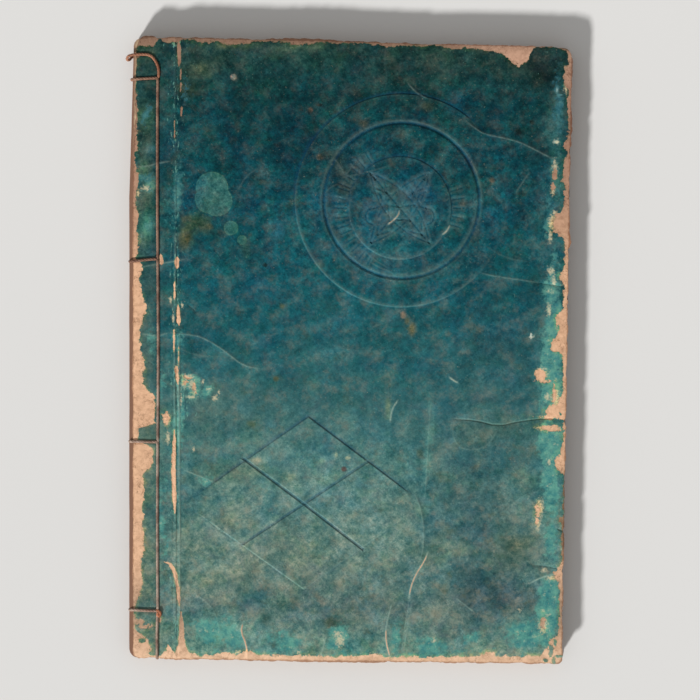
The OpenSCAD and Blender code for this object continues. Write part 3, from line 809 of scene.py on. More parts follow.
# Stains: middle in pixels, half width and half height in pixels, colour and strength
STAINS = [
    (187, 232, 8, 16, (62, 76, 50), 0.65), (201, 222, 10, 8, (58, 80, 58), 0.6),
    (188, 238, 3, 5, (112, 84, 46), 0.35), (210, 227, 4, 3, (96, 80, 44), 0.35),
    (184, 220, 3, 4, (92, 84, 50), 0.3), (246, 250, 5, 9, (52, 84, 70), 0.5),
    (311, 110, 3, 3, (120, 74, 48), 0.45), (320, 157, 4, 4, (124, 80, 50), 0.4),
    (364, 124, 6, 4, (112, 84, 52), 0.4), (427, 107, 7, 5, (86, 74, 48), 0.4),
    (492, 180, 3, 3, (110, 72, 48), 0.45), (463, 204, 5, 3, (104, 78, 52), 0.35),
    (403, 315, 3, 3.5, (170, 132, 104), 0.65), (407, 321, 3, 4, (120, 104, 66), 0.5),
    (412, 329, 4, 7, (132, 112, 68), 0.65), (276, 379, 3.5, 3, (96, 86, 50), 0.7),
    (282, 306, 3, 3, (84, 84, 52), 0.6), (251, 424, 5, 4, (86, 96, 62), 0.6),
    (329, 623, 7, 6, (116, 110, 72), 0.6), (320, 105, 4, 2, (12, 22, 20), 0.9),
    (518, 132, 4, 5, (12, 22, 20), 0.8), (532, 122, 3, 3, (14, 24, 20), 0.8),
    (499, 51, 2.5, 2, (26, 24, 18), 0.7), (265, 265, 2.5, 2.5, (14, 30, 28), 0.8),
    (344, 469, 3, 2.6, (78, 62, 60), 0.9), (345, 190, 13, 9, (26, 48, 40), 0.6),
    (187, 90, 12, 9, (60, 66, 44), 0.5), (196, 70, 16, 10, (56, 70, 50), 0.5),
    (348, 458, 3, 2, (170, 172, 140), 0.8), (336, 455, 2, 3, (160, 168, 138), 0.7),
    (322, 461, 4, 3, (140, 165, 136), 0.6), (256, 460, 6, 3, (158, 160, 132), 0.6),
    (292, 477, 4, 4, (150, 160, 130), 0.5), (420, 454, 4, 5, (84, 88, 60), 0.5),
    (388, 409, 3, 12, (112, 130, 96), 0.5), (176, 300, 5, 16, (50, 92, 80), 0.4),
    (497, 100, 14, 5, (44, 74, 70), 0.4), (531, 336, 1.1, 3.2, (204, 206, 190), 0.9),
    (531.5, 337, 2.8, 1.0, (196, 200, 184), 0.8), (233.5, 77, 3.2, 3.2, (196, 154, 132), 0.85),
    (557, 142, 1.9, 1.8, (186, 194, 176), 0.9), (557, 90, 1.4, 3.6, (130, 162, 162), 0.7),
    (560, 95, 3.2, 1.3, (120, 152, 154), 0.6), (518, 57, 1.8, 4, (170, 150, 122), 0.7),
    (490, 168, 18, 2, (28, 48, 44), 0.4), (474, 436, 22, 13, (84, 104, 84), 0.2),
    (512, 545, 12, 8, (92, 98, 72), 0.45), (530, 540, 10, 8, (104, 112, 86), 0.4),
    (490, 595, 30, 14, (48, 78, 84), 0.4), (197, 224, 12, 12, (64, 78, 50), 0.4),
    (184, 240, 7, 13, (84, 76, 44), 0.45), (207, 228, 6, 7, (86, 76, 44), 0.35),
    (150, 54, 7, 5, (50, 76, 58), 0.6), (345, 470, 3, 2.4, (70, 58, 56), 0.7),
    (332, 623, 5, 8, (92, 88, 66), 0.6), (215, 232, 26, 5, (30, 70, 62), 0.3),
    (470, 120, 22, 14, (6, 50, 50), 0.4), (235, 46, 26, 4, (66, 84, 62), 0.5),
    (300, 48, 30, 4, (52, 80, 66), 0.5), (210, 470, 18, 10, (60, 104, 96), 0.4),
]
# Dye rubbed down to pale turquoise, down the cover: row in pixels, then colour
PALE_ROWS = [
    (60, (60, 114, 128)), (180, (64, 120, 122)), (260, (82, 144, 138)), (400, (92, 156, 146)),
    (640, (84, 152, 144)),
]
# Bare paper down the cover, darker towards the head: painted shade. Row in pixels, then colour
CORE_AND_SHADE_ROWS = [
    (40, (146, 116, 97)), (120, (160, 124, 104)), (200, (176, 138, 114)), (270, (220, 176, 142)),
    (560, (222, 180, 146)), (615, (176, 146, 122)), (640, (206, 168, 138)), (655, (226, 188, 156)),
    (664, (206, 170, 140)),
]


def by_row(stops, row):
    """Linear colour at a row, from a list of rows and colours."""
    rows = [r for r, _ in stops]
    colours = np.array([linear(c) for _, c in stops])
    return np.stack([np.interp(row, rows, colours[:, k]) for k in range(3)], -1)


def dye_and_light_colour(x, y):
    """Linear colour of the dye at each point, with painted light: darker towards the head, paler and greyer
    towards the tail, and lighter or darker in some zones.
    """
    px, py = pixel_of(x, y)
    colour = by_row(DYE_SHADE_AND_SHEEN_ROWS, py + 16 * fractal(x, y, 26, 31))
    drift = 7 * fractal(x, y, 12, 35)
    for (zx, zy), (rx, ry), tint, strength in DYE_AND_LIGHT_ZONES:
        weight = strength * np.exp(-(((px - zx + drift) / rx) ** 2) - ((py - zy + drift) / ry) ** 2)
        colour = colour + weight[..., None] * (linear(tint) - colour)
    for sx, sy, rx, ry, tint, strength in STAINS:
        r = np.hypot((px - sx) / rx, (py - sy) / ry) + 0.35 * fractal(x, y, 1.8, 41)
        weight = strength * (1 - step(r - 0.85, 0.5 if min(rx, ry) < 3 else 1.0))
        colour = colour + weight[..., None] * (linear(tint) - colour)
    return colour


def inside_paper(x, y):
    """Linear colour of the undyed inside of a cover, a little browner in patches."""
    return linear((208, 182, 148)) * (1 + 0.14 * fractal(x, y, 38, 61)[:, None])


# Mottling of the dye: size in millimetres, stretch, turn, shift of the noise, darkest and lightest factors
MOTTLE = [
    (17, 1, 0, 3, (0.5, 0.75, 0.79), (1.44, 1.26, 1.19)),
    (5, 1, 0, 17, (0.36, 0.65, 0.7), (1.6, 1.37, 1.29)),
    (1.6, 1, 0, 29, (0.38, 0.65, 0.7), (1.66, 1.41, 1.36)),
    (0.5, 1, 0, 31, (0.66, 0.8, 0.82), (1.36, 1.22, 1.2)),
    (0.9, 6, 35, 47, (0.88, 0.92, 0.93), (1.15, 1.11, 1.1)),
    (0.8, 7, -50, 59, (0.86, 0.9, 0.92), (1.17, 1.13, 1.12)),
]
BLOTS_UNDER = 1.6  # the blots lie under the mottling of this size and over the coarser
# How strong the mottling is down the cover: row in pixels, strength
MOTTLE_ROWS = [(200, 1.0), (300, 0.66), (400, 0.5), (480, 0.72), (560, 0.74), (620, 0.8)]

# Clouds of another hue: size, detail, roughness, shift and distortion of the noise, limits, colour factor
BLUE_AND_GREEN = [
    ((13, 7, 0.66, 53, 0.2), (0.42, 0.7, 0, 0.7), (0.5, 0.96, 1.3)),
    ((9, 7, 0.68, 151, 0.2), (0.46, 0.68, 0, 0.8), (0.86, 0.98, 0.76)),
]
# Clouds of rubbed and soiled dye, in the same terms, then what sets their strength and their colour
RUBBED_CLOUDS = [
    ((7, 7, 0.68, 171, 0.2), (0.5, 0.72, 0, 0.5), "thin", (104, 112, 124)),
    ((6, 6, 0.66, 191, 0.2), (0.54, 0.74, 0, 0.8), "thin", (98, 100, 66)),
    ((7, 9, 0.74, 83, 0.1), (0.44, 0.8), "soil", (92, 94, 76)),
    ((5, 8, 0.7, 19, 0.2), (0.46, 0.76), "thin", (152, 146, 124)),
]


# Materials
class Shader:
    """A node material under construction, with a short call for each kind of node."""

    def __init__(self, name):
        self.material = bpy.data.materials.new(name)
        self.material.use_nodes = True
        self.tree = self.material.node_tree
        self.tree.nodes.clear()
        self.surface = self.node("BsdfPrincipled")
        output = self.node("OutputMaterial")
        self.tree.links.new(self.surface.outputs[0], output.inputs[0])

    def put(self, socket, value):
        if isinstance(value, bpy.types.NodeSocket):
            self.tree.links.new(value, socket)
        elif hasattr(socket.default_value, "__len__") and not hasattr(value, "__len__"):
            socket.default_value = [value] * len(socket.default_value)
        elif hasattr(value, "__len__") and len(value) == 3 and len(socket.default_value) == 4:
            socket.default_value = (*value, 1)
        else:
            socket.default_value = value

    def node(self, kind, inputs=(), **settings):
        """A new node with its settings, and a value or a link for each input named."""
        node = self.tree.nodes.new("ShaderNode" + kind)
        for key, value in settings.items():
            setattr(node, key, value)
        for key, value in inputs:
            self.put(node.inputs[key], value)
        return node

    def field(self, name, output="Fac"):
        return self.node("Attribute", attribute_name=name).outputs[output]

    def laid(self, vector, stretch, turn):
        """Places squeezed along the direction turn, so that noise comes out as streaks that way."""
        turned = self.node("Mapping", (("Vector", vector), ("Rotation", (0, 0, -math.radians(turn)))))
        squeeze = ((0, turned.outputs[0]), (1, (1 / stretch, 1, 1)))
        return self.node("VectorMath", squeeze, operation="MULTIPLY").outputs[0]

    def noise(self, vector, size, detail=4.0, rough=0.55, shift=0.0, distort=0.0):
        """Noise from 0 to 1 with features of about size millimetres."""
        move = self.node("VectorMath", ((0, vector), (1, (shift, 0.7 * shift, 0.3 * shift))))
        inputs = (("Vector", move.outputs[0]), ("Scale", 1 / size), ("Detail", detail),
                  ("Roughness", rough), ("Distortion", distort))
        return self.node("TexNoise", inputs).outputs["Fac"]

    def math(self, operation, a, b=0.0, c=0.0, clamp=False):
        return self.node("Math", enumerate((a, b, c)), operation=operation, use_clamp=clamp).outputs[0]

    def span(self, value, low, high, to_low=0.0, to_high=1.0):
        """Value mapped smoothly from low..high to to_low..to_high."""
        keys = ("Value", "From Min", "From Max", "To Min", "To Max")
        inputs = zip(keys, (value, low, high, to_low, to_high))
        return self.node("MapRange", inputs, interpolation_type="SMOOTHSTEP").outputs[0]

    def mix(self, share, a, b, blend="MIX"):
        inputs = zip((0, 6, 7), (share, a, b))  # places of the share and of the two colours
        return self.node("Mix", inputs, data_type="RGBA", blend_type=blend).outputs[2]

    def times(self, a, b):
        return self.math("MULTIPLY", a, b)

    def tinted(self, share, colour, factor):
        """Colour multiplied by factor, as far as share says."""
        return self.mix(share, colour, self.mix(1.0, colour, factor, "MULTIPLY"))

    def bump(self, height, depth, strength=1.0, normal=None):
        """Bump of a height from 0 to 1 that stands depth millimetres high."""
        node = self.node("Bump", (("Height", height), ("Distance", depth * MM), ("Strength", strength)))
        if normal is not None:
            self.put(node.inputs["Normal"], normal)
        return node.outputs[0]

    def finish(self, colour, roughness, normal=None, specular=0.3):
        inputs = {"Base Color": colour, "Roughness": roughness, "Specular IOR Level": specular}
        if normal is not None:
            inputs["Normal"] = normal
        for key, value in inputs.items():
            self.put(self.surface.inputs[key], value)
        return self.material


def cover_material():
    """Dyed paper, mottled and rubbed, over a tan core that shows where it is worn, with painted shade and
    painted highlights along the relief.
    """
    s = Shader("dyed_cover_paper")
    place = s.field("rest", "Vector")
    # Dye with a painted light falloff and painted sheen on the front cover
    colour = s.field("dye", "Vector")
    mottle = s.field("mottle")
    ragged_edge = s.math("MULTIPLY_ADD", s.noise(place, 1.7, 6, 0.7, 61), 3.4, -1.7)
    blot = s.math("MULTIPLY_ADD", ragged_edge, 0.12, s.field("blot"))
    for size, stretch, turn, shift, dark, light in MOTTLE:
        if size == BLOTS_UNDER:
            colour = s.mix(s.span(blot, -0.12, 0.12, 0, 0.7), colour, srgb(58, 108, 101))
            colour = s.mix(s.span(s.math("ABSOLUTE", blot), 0.35, 0.0, 0, 0.25), colour, srgb(84, 120, 92))
        where = s.laid(place, stretch, turn) if stretch > 1 else place
        tone = s.span(s.noise(where, size, 6, 0.64, shift, 0.1), 0.3, 0.7)
        colour = s.tinted(mottle, colour, s.mix(tone, dark, light))
    for cloud, limits, factor in BLUE_AND_GREEN:
        share = s.times(s.span(s.noise(place, *cloud), *limits), mottle)
        colour = s.tinted(share, colour, factor)
    thin = s.field("thin")
    soil = s.math("MULTIPLY_ADD", thin, 0.75, -0.05)
    for cloud, limits, field, tint in RUBBED_CLOUDS:
        share = s.times(s.span(s.noise(place, *cloud), *limits), soil if field == "soil" else thin)
        colour = s.mix(share, colour, srgb(*tint))
    for size, shift, strength in ((9, 211, 0.55), (4, 231, 0.45)):
        contour = s.math("ABSOLUTE", s.math("SUBTRACT", s.noise(place, size, 3, 0.5, shift, 0.8), 0.5))
        some = s.span(s.noise(place, 6, 3, 0.6, shift + 7), 0.5, 0.64, 0, strength)
        wrinkle = s.times(s.span(contour, 0.1 / size, 0.0), some)
        colour = s.tinted(s.times(wrinkle, mottle), colour, (2.4, 1.8, 1.75))

    pale_edge = s.math("MULTIPLY_ADD", s.noise(place, 2.8, 8, 0.74, 67), 11.0, -6.0)
    pale = s.math("ADD", s.field("pale"), pale_edge)
    pale_tone = s.span(s.noise(place, 3.0, 7, 0.7, 73), 0.35, 0.65)
    pale_factor = s.mix(pale_tone, (0.4, 0.66, 0.76), (1.4, 1.18, 1.04))
    pale_tint = s.mix(1.0, s.field("pale_tint", "Vector"), pale_factor, "MULTIPLY")
    pale_deep = s.span(s.noise(place, 4.6, 6, 0.66, 107), 0.52, 0.66, 0, 0.6)
    pale_tint = s.tinted(pale_deep, pale_tint, (0.3, 0.56, 0.66))
    colour = s.mix(s.span(pale, -0.9, 1.5, 0, 0.85), colour, pale_tint)
    cream = s.times(s.span(s.noise(place, 1.9, 4, 0.6, 101), 0.56, 0.7), s.span(pale, 0.4, 2.6))
    colour = s.mix(s.times(cream, s.field("cream")), colour, srgb(198, 198, 160))
    speck = s.math("ADD", s.field("speck"), -2.1)
    speck = s.math("MULTIPLY_ADD", s.noise(place, 0.8, 5, 0.66, 109), 4.2, speck)
    colour = s.mix(s.span(speck, -0.6, 0.9, 0, 0.72), colour, srgb(214, 200, 164))
    rub = s.math("MULTIPLY_ADD", s.field("rub"), 0.16, s.noise(s.laid(place, 2.5, 90), 0.8, 5, 0.66, 91))
    rub = s.math("MULTIPLY_ADD", s.noise(place, 9, 4, 0.6, 97), 0.3, rub)
    colour = s.mix(s.span(rub, 0.85, 0.97, 0, 0.6), colour, srgb(120, 176, 160))
    # Painted shade: deep blue in the grooves of the relief and at the foot of its raised edges
    groove = s.field("groove")
    colour = s.mix(s.times(groove, 0.6), colour, srgb(14, 62, 98))
    rub_noise = s.noise(place, 1.2, 5, 0.7, 11)
    # Pale lines of rubbed creases, and painted highlights beside the relief; where the rubbing is deep the
    # bare core shows
    crease = s.times(s.field("crease"), s.span(rub_noise, 0.32, 0.66, 0.6, 1.25))
    rub_and_highlight_colour = s.mix(0.5, s.field("pale_tint", "Vector"), srgb(190, 194, 174))
    rub_and_highlight_tint = s.mix(s.span(s.field("crease"), 0.6, 1.0), rub_and_highlight_colour, s.field("core", "Vector"))
    colour = s.mix(s.math("MINIMUM", crease, 1.0), colour, rub_and_highlight_tint)

    wear = s.math("ADD", ragged_edge, s.field("wear"))
    worn = s.span(wear, -0.1, 0.1)
    halo = s.times(s.span(wear, -1.6, 0.05, 0, 0.6), s.span(s.noise(place, 4, 6, 0.66, 31), 0.42, 0.58))
    colour = s.tinted(halo, colour, (2.1, 1.5, 0.8))
    core = s.field("core", "Vector")
    fibre = s.noise(place, 2.2, 8, 0.72, 71, 0.3)
    fibres = s.mix(s.span(fibre, 0.3, 0.62), (0.78, 0.74, 0.71), (1.1, 1.09, 1.08))
    tan = s.mix(1.0, core, fibres, "MULTIPLY")
    crackle = s.math("ABSOLUTE", s.math("SUBTRACT", s.noise(place, 3.4, 4, 0.6, 37, 1.5), 0.5))
    split = s.span(s.noise(place, 5, 3, 0.6, 43), 0.46, 0.6)
    crack = s.times(s.span(crackle, 0.016, 0.0), split)
    tan = s.mix(s.times(crack, 0.75), tan, s.mix(1.0, core, (0.3, 0.23, 0.2), "MULTIPLY"))
    rim = s.math("ADD", s.field("rim"), s.math("MULTIPLY_ADD", rub_noise, -1.6, 0.8))
    tan = s.mix(s.span(rim, 0.9, 0.1, 0, 0.8), tan, s.mix(1.0, core, (0.42, 0.33, 0.3), "MULTIPLY"))
    stain = s.times(s.span(wear, 0.7, 0.05, 0, 0.35), s.span(rub_noise, 0.4, 0.6))
    tan = s.mix(stain, tan, srgb(120, 128, 92))
    colour = s.mix(worn, colour, tan)

    normal = s.bump(s.math("SUBTRACT", 1.0, worn), 0.1, 0.7)
    normal = s.bump(s.noise(place, 0.5, 5, 0.65, 7), 0.08, 0.6, normal)
    normal = s.bump(s.noise(place, 3.0, 6, 0.64, 13, 0.6), 0.26, 0.55, normal)
    normal = s.bump(s.noise(s.laid(place, 7, -50), 0.8, 4, 0.6, 59), 0.1, 0.4, normal)
    normal = s.bump(s.math("SUBTRACT", 1.0, crack), 0.1, 0.7, normal)
    return s.finish(colour, s.mix(worn, s.span(rub_noise, 0.3, 0.7, 0.6, 0.78), 0.92), normal, 0.06)


def leaf_material():
    """Aged leaves, darker at the edges of the stack and with a line for each fold."""
    s = Shader("aged_leaves")
    place = s.field("rest", "Vector")
    tone = s.noise(place, 22, 8, 0.62, 5)
    colour = s.mix(s.span(tone, 0.3, 0.7), srgb(206, 182, 144), srgb(220, 200, 164))
    fibre = s.noise(s.laid(place, 9, 90), 0.5, 4, 0.6, 15)
    colour = s.mix(s.span(fibre, 0.62, 0.74, 0, 0.3), colour, srgb(178, 152, 116))
    foxed_area = s.span(s.noise(place, 17, 2, 0.5, 27), 0.5, 0.65)
    fox = s.times(s.span(s.noise(place, 1.6, 3, 0.6, 23), 0.66, 0.74), foxed_area)
    colour = s.mix(s.times(fox, 0.6), colour, srgb(150, 104, 66))
    dirt = s.math("ADD", s.field("rim"), s.math("MULTIPLY_ADD", s.noise(place, 2.0, 5, 0.6, 31), -2.4, 1.2))
    colour = s.mix(s.span(dirt, 2.6, 0.2, 0, 0.8), colour, srgb(134, 102, 84))
    handled = s.math("MULTIPLY_ADD", s.noise(place, 1.1, 5, 0.66, 37), -1.6, 0.8)
    handled = s.math("ADD", s.field("spine"), handled)
    colour = s.mix(s.span(handled, 2.6, 1.4, 0, 0.92), colour, srgb(130, 95, 77))
    normal = s.bump(s.noise(place, 0.45, 4, 0.6, 3), 0.05, 0.6)
    return s.finish(colour, s.span(tone, 0.3, 0.7, 0.8, 0.92), normal, 0.2)


def thread_material():
    """Dull tan silk, browner where it is handled, with a painted light falloff: darker and browner towards
    the head, paler and greyer towards the tail.
    """
    s = Shader("silk_thread")
    place = s.field("rest", "Vector")
    tone = s.noise(place, 5, 5, 0.6, 41)
    # Painted light falloff: darker and browner towards the head, paler and greyer towards the tail
    shaded_brown = s.mix(s.span(tone, 0.35, 0.65), srgb(98, 70, 56), srgb(148, 118, 98))
    lit_grey = s.mix(s.span(tone, 0.35, 0.65), srgb(112, 92, 80), srgb(174, 156, 140))
    colour = s.mix(s.field("faded"), shaded_brown, lit_grey)
    colour = s.mix(s.times(s.field("stain"), 0.85), colour, srgb(172, 98, 58))
    normal = s.bump(s.noise(place, 0.16, 3, 0.6, 9), 0.04, 0.6)
    return s.finish(colour, s.span(tone, 0.3, 0.7, 0.5, 0.7), normal, 0.35)


COVER_PAPER = cover_material()
LEAF_PAPER = leaf_material()
SILK = thread_material()


# Front cover: one sheet from the spine to the fore-edge, across the crease
FRONT_GAP, BACK_GAP, PLAIN_GAP = 0.84, 1.6, 4.0  # between points of the mesh on each side
RELIEF_KNEE = 0.55  # relief above this height is eased
RELIEF_SOFT = 0.15  # and it rises no further than this above the knee


def feature_points():
    """Points along every line of the relief, so that the mesh follows it."""
    sets = []
    for path, _, _ in CREASES:
        path = spaced(rounded(path, 1), 0.55)
        sets += [path] + both_sides(path, 0.5)
    for path, w_start, w_end in HINGE_STREAKS:
        path = spaced(path, 0.55)
        half = np.linspace(w_start, w_end, len(path))[:, None] / 2
        side = beside(path, 1) - path
        sets += [path, path + side * half, path - side * half]
    for line in QUARTER_LINES:
        path = spaced(line, 0.6)
        sets += both_sides(path, QUARTER_W / 2 - 0.22, QUARTER_W / 2 + 0.22)
    tips = np.vstack([LOZENGE_TIPS, LOZENGE_TIPS[:1]])
    for a, b in zip(tips[:-1], tips[1:]):
        sets += both_sides(spaced(np.array([a, b]), 0.6), 0.25)
    circles = [(DISC, DISC_R + off) for off in (-0.25, 0.25)]
    circles += [(ROUNDEL, ROUNDEL_R + off) for off in (-0.25, 0.25)]
    circles += [(ROUNDEL, radius) for radius in (27.42, 28.16, 28.44, 29.18)]
    for middle, radius in circles:
        sets.append(spaced(arc(middle, radius, 0, 360, 240)[:-1], 0.6, closed=True))
    for line in crest_lines():
        path = spaced(line, 0.55)
        sets += [path] + both_sides(path, 0.6)
    for px, py, rx, ry in [stain[:4] for stain in STAINS] + SPECKS:
        if min(rx, ry) < 4.5:
            for share in (0.4, 0.8, 1.2):
                ring = arc(np.zeros(2), share * PHOTO_SCALE, 0, 360, 12)[:-1] * np.array([rx, ry])
                sets.append(ring + at(px, py))
    head, tail = down(38), down(662)
    for px in [line[0] for line in HINGE_LINES[:5]] + [171.6, 173.8, 175.8, 178.1, 180.2, 182.4]:
        x = across(px)
        sets.append(spaced(np.array([(x, head), (x, tail)]), 0.75))
    for path in THREAD_RUNS + [HEAD_LOOP]:
        path = spaced(path, 0.6)
        sets += [path] + both_sides(path, 0.45, 0.95)
    return sets


def add_fields(obj, fields):
    for name, values in fields.items():
        add_field(obj, name, values)


def plain_side(edge):
    """Points and triangles of the unseen side of a cover, with the outline's places."""
    return triangulated(edge, far_inside(sheet_points(edge, PLAIN_GAP, []), edge, 1.5))


def front_core(x, y, unseen):
    """Bare paper of the front, darker towards the head as painted shade: paler in a patch at the head,
    grimy at one place of the fore-edge.
    """
    core = by_row(CORE_AND_SHADE_ROWS, pixel_of(x, y)[1])
    patch = np.hypot((x - across(520)) / 22, (y - down(60)) / 14)
    grimy = step(x - across(556), 3) * step(15 - np.abs(y - down(515)), 8)
    core = core * ((1 + 0.75 * bell(patch, 1)) * (1 - 0.6 * grimy))[:, None]
    core[unseen] = inside_paper(x[unseen], y[unseen])
    return core


def front_rub(x, y, rim):
    """How much the dye is rubbed near the hinge, beside the stain and along the edge."""
    near_hinge = np.exp(-np.abs(x - CREASE_X) / 3)
    near_stain = np.exp(-((x - across(187)) / 4) ** 2 - ((y - down(395)) / 10) ** 2)
    return near_hinge + near_stain + 0.5 * np.exp(-np.clip(rim, 0, None) / 9)


def front_cover_sheet():
    outline = node_outline("front_cover", "front_cover_margin")
    edge = ragged(outline, 0.6, 0.55, 51, NICKS)
    inside = far_inside(sheet_points(edge, FRONT_GAP, feature_points()), edge, 0.4)
    top_xy, top_faces, top_loop = triangulated(edge, inside)
    x, y = top_xy.T
    rim = inner_distance(x, y, outline)
    height, groove, crease, wear = cover_shape(x, y)
    over = np.clip(height - RELIEF_KNEE, 0, None)
    height = height - over + RELIEF_SOFT * np.tanh(over / RELIEF_SOFT)
    top_z = BOOK_T - margin_drop(x) + height - 0.28 * np.exp(-np.clip(rim, 0, None) / 0.7)
    low_xy, low_faces, low_loop = plain_side(edge)
    low_z = BOOK_T - COVER_T - margin_drop(low_xy[:, 0])
    points, faces = closed_sheet(
        np.column_stack([top_xy, top_z]), top_faces, top_loop,
        np.column_stack([low_xy, low_z]), low_faces, low_loop,
    )
    obj = mesh_object("front_cover_sheet", points, faces, COVER_PAPER, sharp=17)
    all_x, all_y = points[:, 0], points[:, 1]
    row = pixel_of(all_x, all_y)[1]
    blot = np.max([r * PHOTO_SCALE - oval(x, y, px, py, 1, 1) for px, py, r in BLOTS], axis=0)

    def also_below(top, value=0.0):
        return np.concatenate([top, np.full(len(low_xy), value)])

    add_fields(obj, {
        "rest": points,
        "dye": np.vstack([dye_and_light_colour(x, y), dye_and_light_colour(*low_xy.T)]),
        "core": front_core(all_x, all_y, slice(len(x), None)),
        "thin": np.interp(all_y, (down(620), down(420), down(120)), (0.55, 0.32, 0.14)),
        "mottle": np.interp(row, *np.array(MOTTLE_ROWS).T),
        "pale": also_below(pale_patches(x, y), -3),
        "pale_tint": by_row(PALE_ROWS, row),
        "cream": np.interp(row, (60, 240, 330), (0.1, 0.3, 0.45)),
        "speck": also_below(specks(x, y), -1),
        "rub": also_below(front_rub(x, y, rim)),
        "blot": also_below(np.clip(blot, -3, 3), -3),
        "groove": also_below(groove),
        "crease": also_below(crease),
        "wear": also_below(wear, 3),
        "rim": np.concatenate([rim, inner_distance(*low_xy.T, outline)]),
    })
    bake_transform(obj)
    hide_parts("front_cover", "front_cover_margin")
    return obj


def back_cover_sheet():
    outline = node_outline("back_cover", "back_cover_margin")
    edge = ragged(outline, 0.9, 0.5, 151)
    columns = [CREASE_X + dx for dx in (-1.2, -0.5, 0, 0.5, 1.2)]
    features = [spaced(np.array([(x, down(660)), (x, down(40))]), 1.0) for x in columns]
    runs = [spaced(path, 1.0) for path in THREAD_RUNS]
    features += runs
    for path in runs:
        features += both_sides(path, 0.8)
    inside = far_inside(sheet_points(edge, BACK_GAP, features, 0.7), edge, 0.6)
    xy, faces, loop = triangulated(edge, inside)
    x, y = xy.T
    rim = inner_distance(x, y, outline)
    press = np.zeros(len(x))
    for path in THREAD_RUNS:
        d, _ = path_distance(x, y, path)
        press = np.maximum(press, 0.34 * bell(d, 0.7))
    press = press + 0.18 * bell(x - CREASE_X, 0.5)
    wave = 0.12 * (0.5 + 0.5 * fractal(x, y, 30, 161, 2)) * step(x - CREASE_X - 3, 4)
    down_z = margin_drop(x) + press + 0.2 * np.exp(-np.clip(rim, 0, None) / 0.7) + wave
    up_xy, up_faces, up_loop = plain_side(edge)
    up_z = margin_drop(up_xy[:, 0]) + COVER_T
    points, all_faces = closed_sheet(
        np.column_stack([up_xy, up_z]), up_faces, up_loop, np.column_stack([xy, down_z]), faces, loop,
    )
    obj = mesh_object("back_cover_sheet", points, all_faces, COVER_PAPER)
    wear = np.clip(1.6 + 0.9 * fractal(x, y, 9, 171) - rim, -3, 3)
    corners = [np.hypot(x - cx, y - cy) for cx, cy in (CORNERS["head_fore"], CORNERS["tail_fore"])]
    wear = np.maximum(wear, np.clip(5 + 2 * fractal(x, y, 5, 175) - np.minimum(*corners), -3, 3))
    px, py = points[:, 0], points[:, 1]
    core = by_row([(0, (206, 166, 134))], px)
    core[:len(up_xy)] = inside_paper(*up_xy.T)
    same = {"thin": 0.2, "mottle": 0.9, "blot": -3, "pale": -3, "speck": -1}
    same.update(dict.fromkeys(("groove", "crease", "rub", "cream"), 0))
    add_fields(obj, {
        "rest": points,
        "dye": linear((34, 84, 88)) * (1 + 0.35 * fractal(px, py, 40, 181)[:, None]),
        "core": core,
        "pale_tint": by_row([(0, (88, 146, 136))], px),
        "wear": np.concatenate([np.full(len(up_xy), 3.0), wear]),
        "rim": inner_distance(px, py, outline),
        **{name: np.full(len(points), value) for name, value in same.items()},
    })
    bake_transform(obj)
    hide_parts("back_cover", "back_cover_margin")
    return obj


# Stack of folded leaves, each a little out of line with the next
LEAVES = 34


def leaf_stack():
    outline = spaced(node_outline("text_block"), 1.4, closed=True)
    x, y = outline.T
    way = inward(outline)
    at_spine = step(-(x - (SPINE_EDGE_X + 2)), 2)
    rings = []
    for k in range(LEAVES):
        own = 0.16 * value_noise(x, y, 45, 200 + k) + 0.1 * math.sin(k * 2.4)
        own = own + 0.07 * value_noise(x, y, 5, 300 + k)
        cut = 0.22 + own * (1 - 0.5 * at_spine)
        for share, bulge in ((0.06, 0.05), (0.5, 0.0), (0.94, 0.05)):
            level = (k + share) / LEAVES
            xy = outline + way * (cut + bulge)[:, None]
            drop = margin_drop(xy[:, 0])
            low, high = COVER_T + drop, BOOK_T - COVER_T - drop
            rings.append(np.column_stack([xy, low + (high - low) * level]))
    rings[0][:, 2] = COVER_T + margin_drop(rings[0][:, 0])
    rings[-1][:, 2] = BOOK_T - COVER_T - margin_drop(rings[-1][:, 0]) - 0.01
    count = len(outline)
    points = np.vstack(rings)
    faces = faces_between(count, len(rings))
    for ring, start, flip in ((rings[0], 0, True), (rings[-1], (len(rings) - 1) * count, False)):
        edge = ring[:, :2]
        grid = far_inside(sheet_points(edge, 3.0, []), edge, 1.2)
        xy, cap, loop = triangulated(edge, grid)
        index = np.full(len(xy), -1)
        index[loop] = np.arange(count) + start
        inner = np.flatnonzero(index < 0)
        index[inner] = len(points) + np.arange(len(inner))
        drop = margin_drop(xy[inner, 0])
        z = COVER_T + drop if flip else BOOK_T - COVER_T - drop - 0.01
        points = np.vstack([points, np.column_stack([xy[inner], z])])
        cap = index[cap]
        faces.append(cap[:, ::-1] if flip else cap)
    obj = mesh_object("leaf_stack", points, np.vstack(faces), LEAF_PAPER, sharp=50)
    add_field(obj, "rest", points * np.array([1, 1, 6.0]))
    add_field(obj, "rim", inner_distance(points[:, 0], points[:, 1], node_outline("text_block")))
    add_field(obj, "spine", points[:, 0] - SPINE_EDGE_X)
    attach(obj, BLOCK_BODY)
    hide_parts("text_block")
    return obj


# Binding thread: strands twisted together along every run of the sewing
STRANDS = 3
STRAND_R = 0.31
TWIST_R = 0.25
TWIST_PITCH = 3.4
FACE_Z = BOOK_T - PINCH + 0.12
UNDER_Z = PINCH - 0.12 + 0.02


def frames_along(path):
    """Two unit vectors across a path at each of its points, without twist."""
    run = unit(np.gradient(path, axis=0))
    up = np.cross(run[0], (0.3, 0.2, 1.0))
    ups = []
    for t in run:
        up = up - t * np.dot(up, t)
        up /= np.linalg.norm(up)
        ups.append(up)
    return np.array(ups), np.cross(run, ups)


